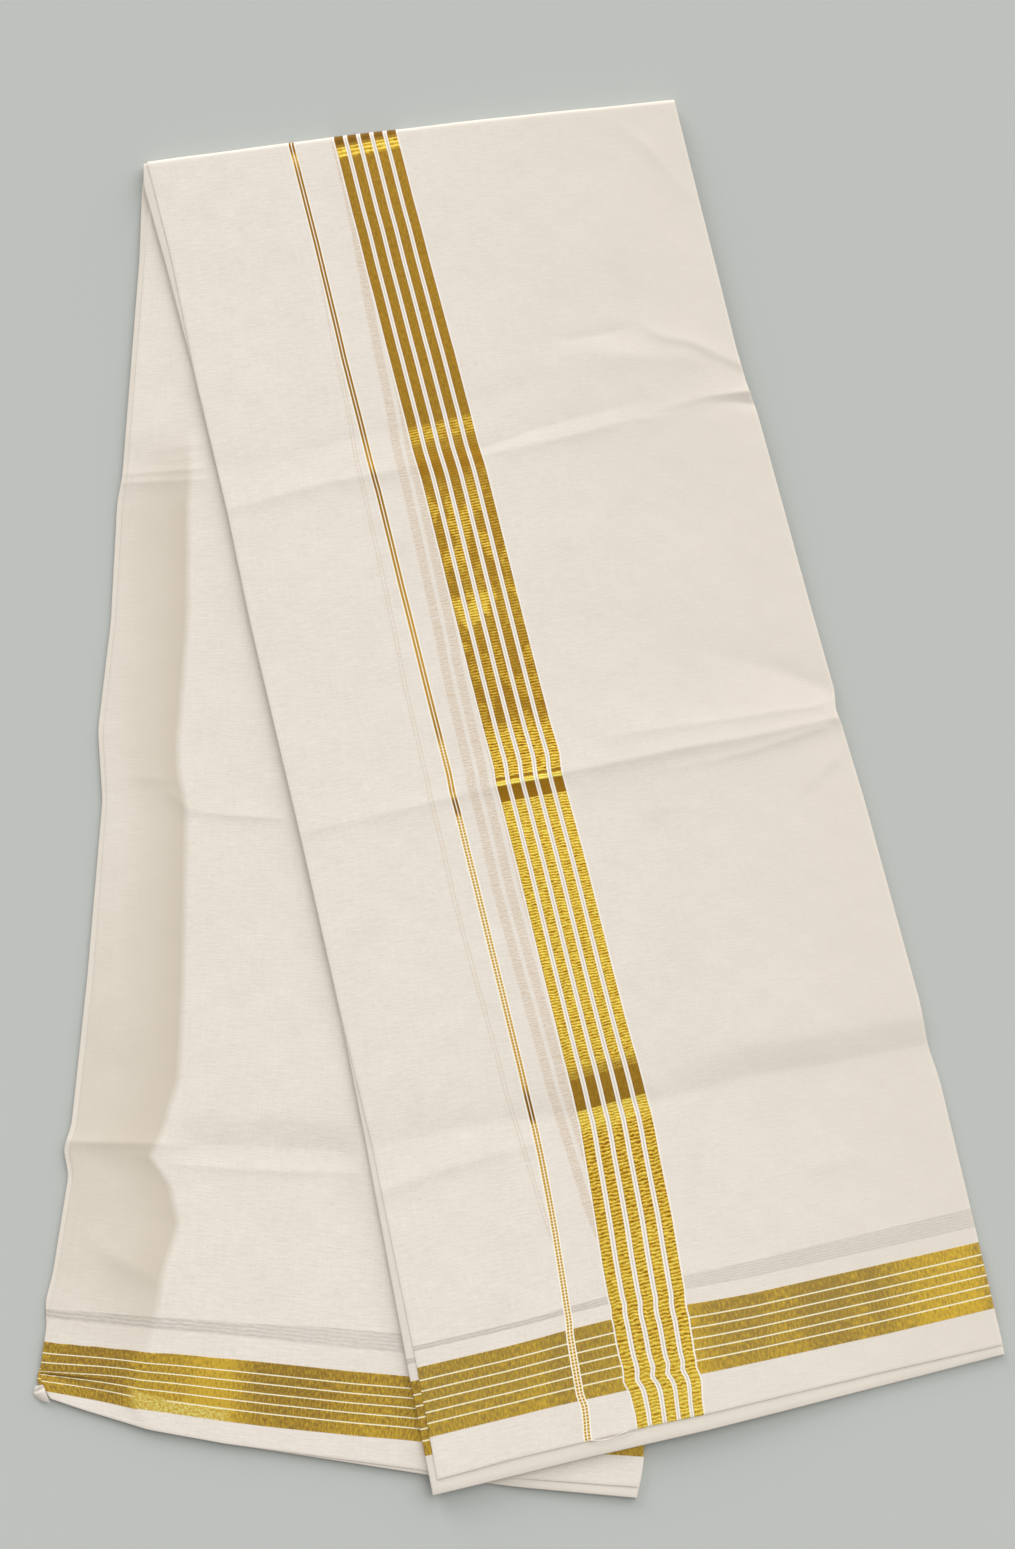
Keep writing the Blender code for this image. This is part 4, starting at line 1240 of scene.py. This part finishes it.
def twin_stripe(tree, across, down, colour):
    """Add the twin stripe to a ground colour; also its mask and how much of it is metal."""
    side = maths(tree, "ABSOLUTE", ("SUBTRACT", across, TWIN_AT))
    inside = stretched(tree, side, TWIN_HALF + 0.2, TWIN_HALF - 0.2)
    look = profile(tree, down, TWIN_LOOK)
    dots = maths(tree, "SINE", ("MULTIPLY", down, 2.0 * math.pi / TWIN_DOTS))
    dotted = maths(tree, "MULTIPLY", stretched(tree, look, 0.5, 0.25), stretched(tree, dots, -0.1, 0.5))
    zari = between(tree, side, *TWIN_ZARI, 0.2)
    gold = mixed(tree, stretched(tree, look, 0.5, 1.0), TWIN_GOLD, TWIN_DARK)
    gold = mixed(tree, dotted, gold, TWIN_PALE)
    colour = mixed(tree, inside, colour, TWIN_WHITE)
    colour = mixed(tree, zari, colour, gold)
    return colour, inside, maths(tree, "MULTIPLY", zari, ("SUBTRACT", 1.0, dotted))


print("twin stripe around", TWIN_AT, "mm across")

# %% Painted shade where the rear fall is thinner
COTTON_PAINTED_SHADE = linear("#D4C9B9")     # painted shade: greyer cotton left of the rear fall's step
PAINTED_SHADE_DOWN = (215.0, 935.0)          # it shows between these places
# How much the painted shade fades on its way across, in rows on the way down.
PAINTED_SHADE_FADES = ((0, 0.7), (300, 0.6), (480, 0.72), (560, 0.8), (640, 0.6), (720, 0.45), (800, 0.35),
              (880, 0.5), (1100, 0.6))


def painted_shade_left_of_step(tree, across, down):
    """How much painted shade the rear fall gets left of its step, where one hidden ply stops short of its
    left edge.
    """
    most = 100.0                    # a profile holds amounts up to 1, so it holds shares of this
    rows = [(0, STEP_ACROSS[0] / most)] + [(d, a / most) for d, a in zip(STEP_DOWN, STEP_ACROSS)]
    past = maths(tree, "SUBTRACT", ("MULTIPLY", profile(tree, down, rows), most), across)
    # painted shade begins just left of the step line
    thinner = stretched(tree, past, -1.5, 4.5)
    fading = maths(tree, "MULTIPLY", stretched(tree, past, 3.0, 52.0), profile(tree, down, PAINTED_SHADE_FADES))
    length = maths(tree, "MULTIPLY", stretched(tree, down, PAINTED_SHADE_DOWN[0], 300.0),
                   stretched(tree, down, PAINTED_SHADE_DOWN[1], 885.0))
    return maths(tree, "MULTIPLY", ("MULTIPLY", thinner, ("SUBTRACT", 1.0, fading)), length)


print("the thinner part is up to", max(STEP_ACROSS), "mm wide")

# %% [markdown]
# ## The three cloth materials
#
# All three are the same handloom cotton with zari, and one function joins their patterns to the shader.
# Cotton is rough and a little fuzzy, so it looks soft and even. Zari is smoother metal, so it shines. It
# is metal at six tenths, because between its strips the cotton core shows. A low bump gives slubs, ribs
# and grain something for the low lamp to catch.

# %% Cloth finish
COTTON_ROUGH = 0.88
ZARI_ROUGH = 0.42
ZARI_METAL = 0.6
FUZZ = 0.08                         # a little sheen at grazing angles
BUMP_HEIGHT = 0.3 * MM


def finish_cloth(tree, shader, colour, metal, height):
    """Join the patterns to the shader."""
    bump = add(tree, "Bump", {}, {"Strength": 0.7, "Distance": BUMP_HEIGHT, "Height": height})
    rough = add(tree, "MapRange", {}, {"Value": metal, "To Min": COTTON_ROUGH, "To Max": ZARI_ROUGH})
    tree.links.new(colour.outputs[2], shader.inputs["Base Color"])
    tree.links.new(maths(tree, "MULTIPLY", metal, ZARI_METAL).outputs[0], shader.inputs["Metallic"])
    tree.links.new(rough.outputs[0], shader.inputs["Roughness"])
    tree.links.new(bump.outputs[0], shader.inputs["Normal"])
    shader.inputs["Sheen Weight"].default_value = FUZZ
    shader.inputs["Sheen Roughness"].default_value = 0.5
    shader.inputs["Specular IOR Level"].default_value = 0.3


def woven_height(tree, streaks, fine, metal):
    """Height of the ground's slubs and of the end band's grain."""
    return maths(tree, "ADD", ("MULTIPLY", streaks, 0.5), ("MULTIPLY", ("MULTIPLY", fine, metal), 0.6))


print("cotton at a roughness of", COTTON_ROUGH, "and zari at", ZARI_ROUGH)

# %% Five long stripes
SEAM_PAINTED_SHADE = linear("#C6BCAC")      # painted shade in the seam between two white threads
EDGE_THREAD = 1.15                  # the outer white threads reach this far past the stripes
SEAM_HALF = 0.35                    # half of the seam's width
RIM = 0.75                          # a stripe's sides are darker for this far, less so where it is crinkled


def long_stripes(tree, across, down, from_left, colour, metal, height):
    """Add the five stripes, with white threads beside each and a seam between the two in a gap."""
    inside = between(tree, from_left, -EDGE_THREAD, BAND_WIDTH + EDGE_THREAD, 0.2)
    colour = mixed(tree, inside, colour, COTTON_WHITE)
    local = maths(tree, "MODULO", ("ADD", from_left, STRIPE_PITCH), STRIPE_PITCH)
    stripe = maths(tree, "MULTIPLY", between(tree, local, 0.0, STRIPE_WIDTH, 0.18),
                   between(tree, from_left, -0.5, BAND_WIDTH + 0.5, 0.1))
    gap = (STRIPE_WIDTH + STRIPE_PITCH) / 2
    seam = maths(tree, "MULTIPLY", between(tree, local, gap - SEAM_HALF, gap + SEAM_HALF, 0.3),
                 between(tree, from_left, 2.0, BAND_WIDTH - 2.0, 0.2))
    # painted shade in the seam
    colour = mixed(tree, ("MULTIPLY", seam, 0.9), colour, SEAM_PAINTED_SHADE)
    gold, ribs, crinkle = crinkled_gold(tree, across, down)
    rim = maths(tree, "SUBTRACT", 1.0, between(tree, local, RIM, STRIPE_WIDTH - RIM, 0.35))
    rim = maths(tree, "MULTIPLY", rim, ("SUBTRACT", 0.7, ("MULTIPLY", crinkle, 0.5)))
    gold = mixed(tree, rim, gold, ZARI_DARKER)
    colour = mixed(tree, stripe, colour, gold)
    metal = maths(tree, "ADD", ("MULTIPLY", metal, ("SUBTRACT", 1.0, inside)), stripe)
    height = maths(tree, "ADD", height, ("MULTIPLY", ("MULTIPLY", ribs, stripe), 1.6))
    return colour, metal, height


print("stripes from", BAND_AT, "to", BAND_AT + BAND_WIDTH, "mm across")


# %% Cloth materials
def front_face_cotton(name):
    """Cotton with the long stripes and the end band, with painted shade a little towards its right edge."""
    material, tree, shader, across, down = new_material(name)
    colour, streaks = cotton_ground(tree, across, down)
    from_left = maths(tree, "SUBTRACT", across, BAND_AT)
    left_of_band = stretched(tree, from_left, -0.7, -1.1)
    # painted shade: the cotton darkens towards the front fall's right edge
    painted_shade_to_right = ("MULTIPLY", stretched(tree, across, 180.0, 400.0), 0.65)
    colour = mixed(tree, painted_shade_to_right, colour, COTTON_SHADE)
    colour = mixed(tree, ply_below(tree, down, left_of_band), colour, SHOW_THROUGH)
    colour, metal, fine = end_band(tree, across, down, colour, FRONT_LOW, FRONT_SHINE, FRONT_BAR)
    height = woven_height(tree, streaks, fine, metal)
    colour, twin, twin_metal = twin_stripe(tree, across, down, colour)
    metal = maths(tree, "ADD", ("MULTIPLY", metal, ("SUBTRACT", 1.0, twin)), twin_metal)
    colour, metal, height = long_stripes(tree, across, down, from_left, colour, metal, height)
    finish_cloth(tree, shader, colour, metal, height)
    return material


def rear_face_cotton(name):
    """Cotton with the end band and its tucked corner, and painted shade left of the step where one ply
    below is missing.
    """
    material, tree, shader, across, down = new_material(name)
    colour, streaks = cotton_ground(tree, across, down)
    # painted shade left of the rear fall's step
    colour = mixed(tree, painted_shade_left_of_step(tree, across, down), colour, COTTON_PAINTED_SHADE)
    colour, metal, fine = end_band(tree, across, down, colour, REAR_LOW, REAR_SHINE, REAR_BAR, corner=True)
    finish_cloth(tree, shader, colour, metal, woven_height(tree, streaks, fine, metal))
    return material


def hidden_cotton(name):
    """Cotton of the hidden plies, darkened halfway to the cotton shade as painted shade; only its end band
    ever shows.
    """
    material, tree, shader, across, down = new_material(name)
    colour, streaks = cotton_ground(tree, across, down)
    # painted shade: the hidden plies lie in the shade of the face plies
    colour = mixed(tree, 0.5, colour, COTTON_SHADE)
    colour, metal, fine = end_band(tree, across, down, colour, REAR_LOW, HIDDEN_SHINE, FRONT_BAR)
    finish_cloth(tree, shader, colour, metal, woven_height(tree, streaks, fine, metal))
    return material


print("cloths for the front face, the rear face and the hidden plies")

# %% Materials on the pieces
# Washed cotton looks soft and matt beside crinkled zari, which sparkles.
front_material = front_face_cotton("handloom_cotton_with_zari_stripes")
# Flat zari across the end of the same cotton gives a broad soft shine.
rear_material = rear_face_cotton("handloom_cotton_with_zari_end")
# Cotton of the plies below, with painted shade from the face plies above, so these plies read as lower.
hidden_material = hidden_cotton("handloom_cotton_under_plies")
front_face.data.materials.append(front_material)
rear_face.data.materials.append(rear_material)
front_hidden.data.materials.append(hidden_material)
rear_hidden.data.materials.append(hidden_material)
print("materials:", len(front_material.node_tree.nodes), "nodes in the striped face")

# %% [markdown]
# ## Floor and light
#
# The floor is plain pale matt paper, a little darker than the cloth so that its edges read. The lamp
# stands for a large softbox far off at the upper right, so a sun with a wide disc is the simple way to
# make it: every part of the cloth gets the same light. It is low, so creases show as soft light and dark
# lines. A weaker strip light, lower and at the upper left, brings out the creases that run across.
# The world fills the shadows, dimmer than the lamp, so flat zari has something dim to mirror.

# %% Floor
FLOOR_REACH = 4.0                   # metres from the middle to each side
FLOOR_LEVEL = -0.2 * MM
PAPER_DARK = linear("#BFC3C0")      # two greys that differ just enough to keep the floor from looking flat
PAPER_LIGHT = linear("#C4C7C4")
corners = ((-1, -1), (1, -1), (1, 1), (-1, 1))
floor_corners = [(x * FLOOR_REACH, y * FLOOR_REACH, FLOOR_LEVEL) for x, y in corners]
floor_mesh = bpy.data.meshes.new("floor")
floor_mesh.from_pydata(floor_corners, [], [(0, 1, 2, 3)])
floor = bpy.data.objects.new("floor", floor_mesh)
bpy.context.scene.collection.objects.link(floor)
floor_material = bpy.data.materials.new("matt_paper")
floor_material.use_nodes = True
floor_tree = floor_material.node_tree
paper = add(floor_tree, "TexNoise", {}, {"Scale": 3.0, "Detail": 2.0})
paper_colour = mixed(floor_tree, paper, PAPER_DARK, PAPER_LIGHT)
floor_shader = floor_tree.nodes["Principled BSDF"]
floor_tree.links.new(paper_colour.outputs[2], floor_shader.inputs["Base Color"])
floor_shader.inputs["Roughness"].default_value = 0.95
floor_shader.inputs["Specular IOR Level"].default_value = 0.1
floor_mesh.materials.append(floor_material)
print("floor laid")

# %% Light
LAMP_COLOUR = (1.0, 0.993, 0.99)
SKY_COLOUR = (1.0, 0.99, 0.96, 1.0)
SKY_STRENGTH = 0.42


def sun(name, turn, rise, angle, energy):
    """A far lamp: its turn from the right towards the top, its rise above the floor, its width."""
    data = bpy.data.lights.new(name, "SUN")
    data.angle = math.radians(angle)
    data.energy = energy
    data.color = LAMP_COLOUR
    lamp = bpy.data.objects.new(name, data)
    turn, rise = math.radians(turn), math.radians(rise)
    towards = Vector((math.cos(rise) * math.cos(turn), math.cos(rise) * math.sin(turn), math.sin(rise)))
    lamp.rotation_euler = (-towards).to_track_quat("-Z", "Y").to_euler()
    bpy.context.scene.collection.objects.link(lamp)


sun("softbox", turn=46, rise=31, angle=70, energy=2.50)
sun("strip_light", turn=122, rise=15, angle=30, energy=1.69)

world = bpy.data.worlds.new("studio")
world.use_nodes = True
sky = world.node_tree.nodes["Background"]
sky.inputs["Color"].default_value = SKY_COLOUR
sky.inputs["Strength"].default_value = SKY_STRENGTH
bpy.context.scene.world = world
bpy.context.scene.view_settings.view_transform = "Standard"
print("sky of", SKY_STRENGTH)

# %% [markdown]
# ## Joining the frame
#
# Every sheet rides on the one body and takes the place of its solid. The
# whole cloth is cut 2.03 m by 1.27 m: six plies of one third of the width and half of the length.

# %% Ride and replace
for piece, node, slot in (
    (front_face, "front_fall_face", "cotton_face"),
    (front_hidden, "front_fall_layers", "cotton_inner"),
    (rear_face, "rear_fall_face", "cotton_face"),
    (rear_hidden, "rear_fall_layers", "cotton_inner"),
):
    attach(piece, "root")
    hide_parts(node)
    print(piece.name, "stands for", node)
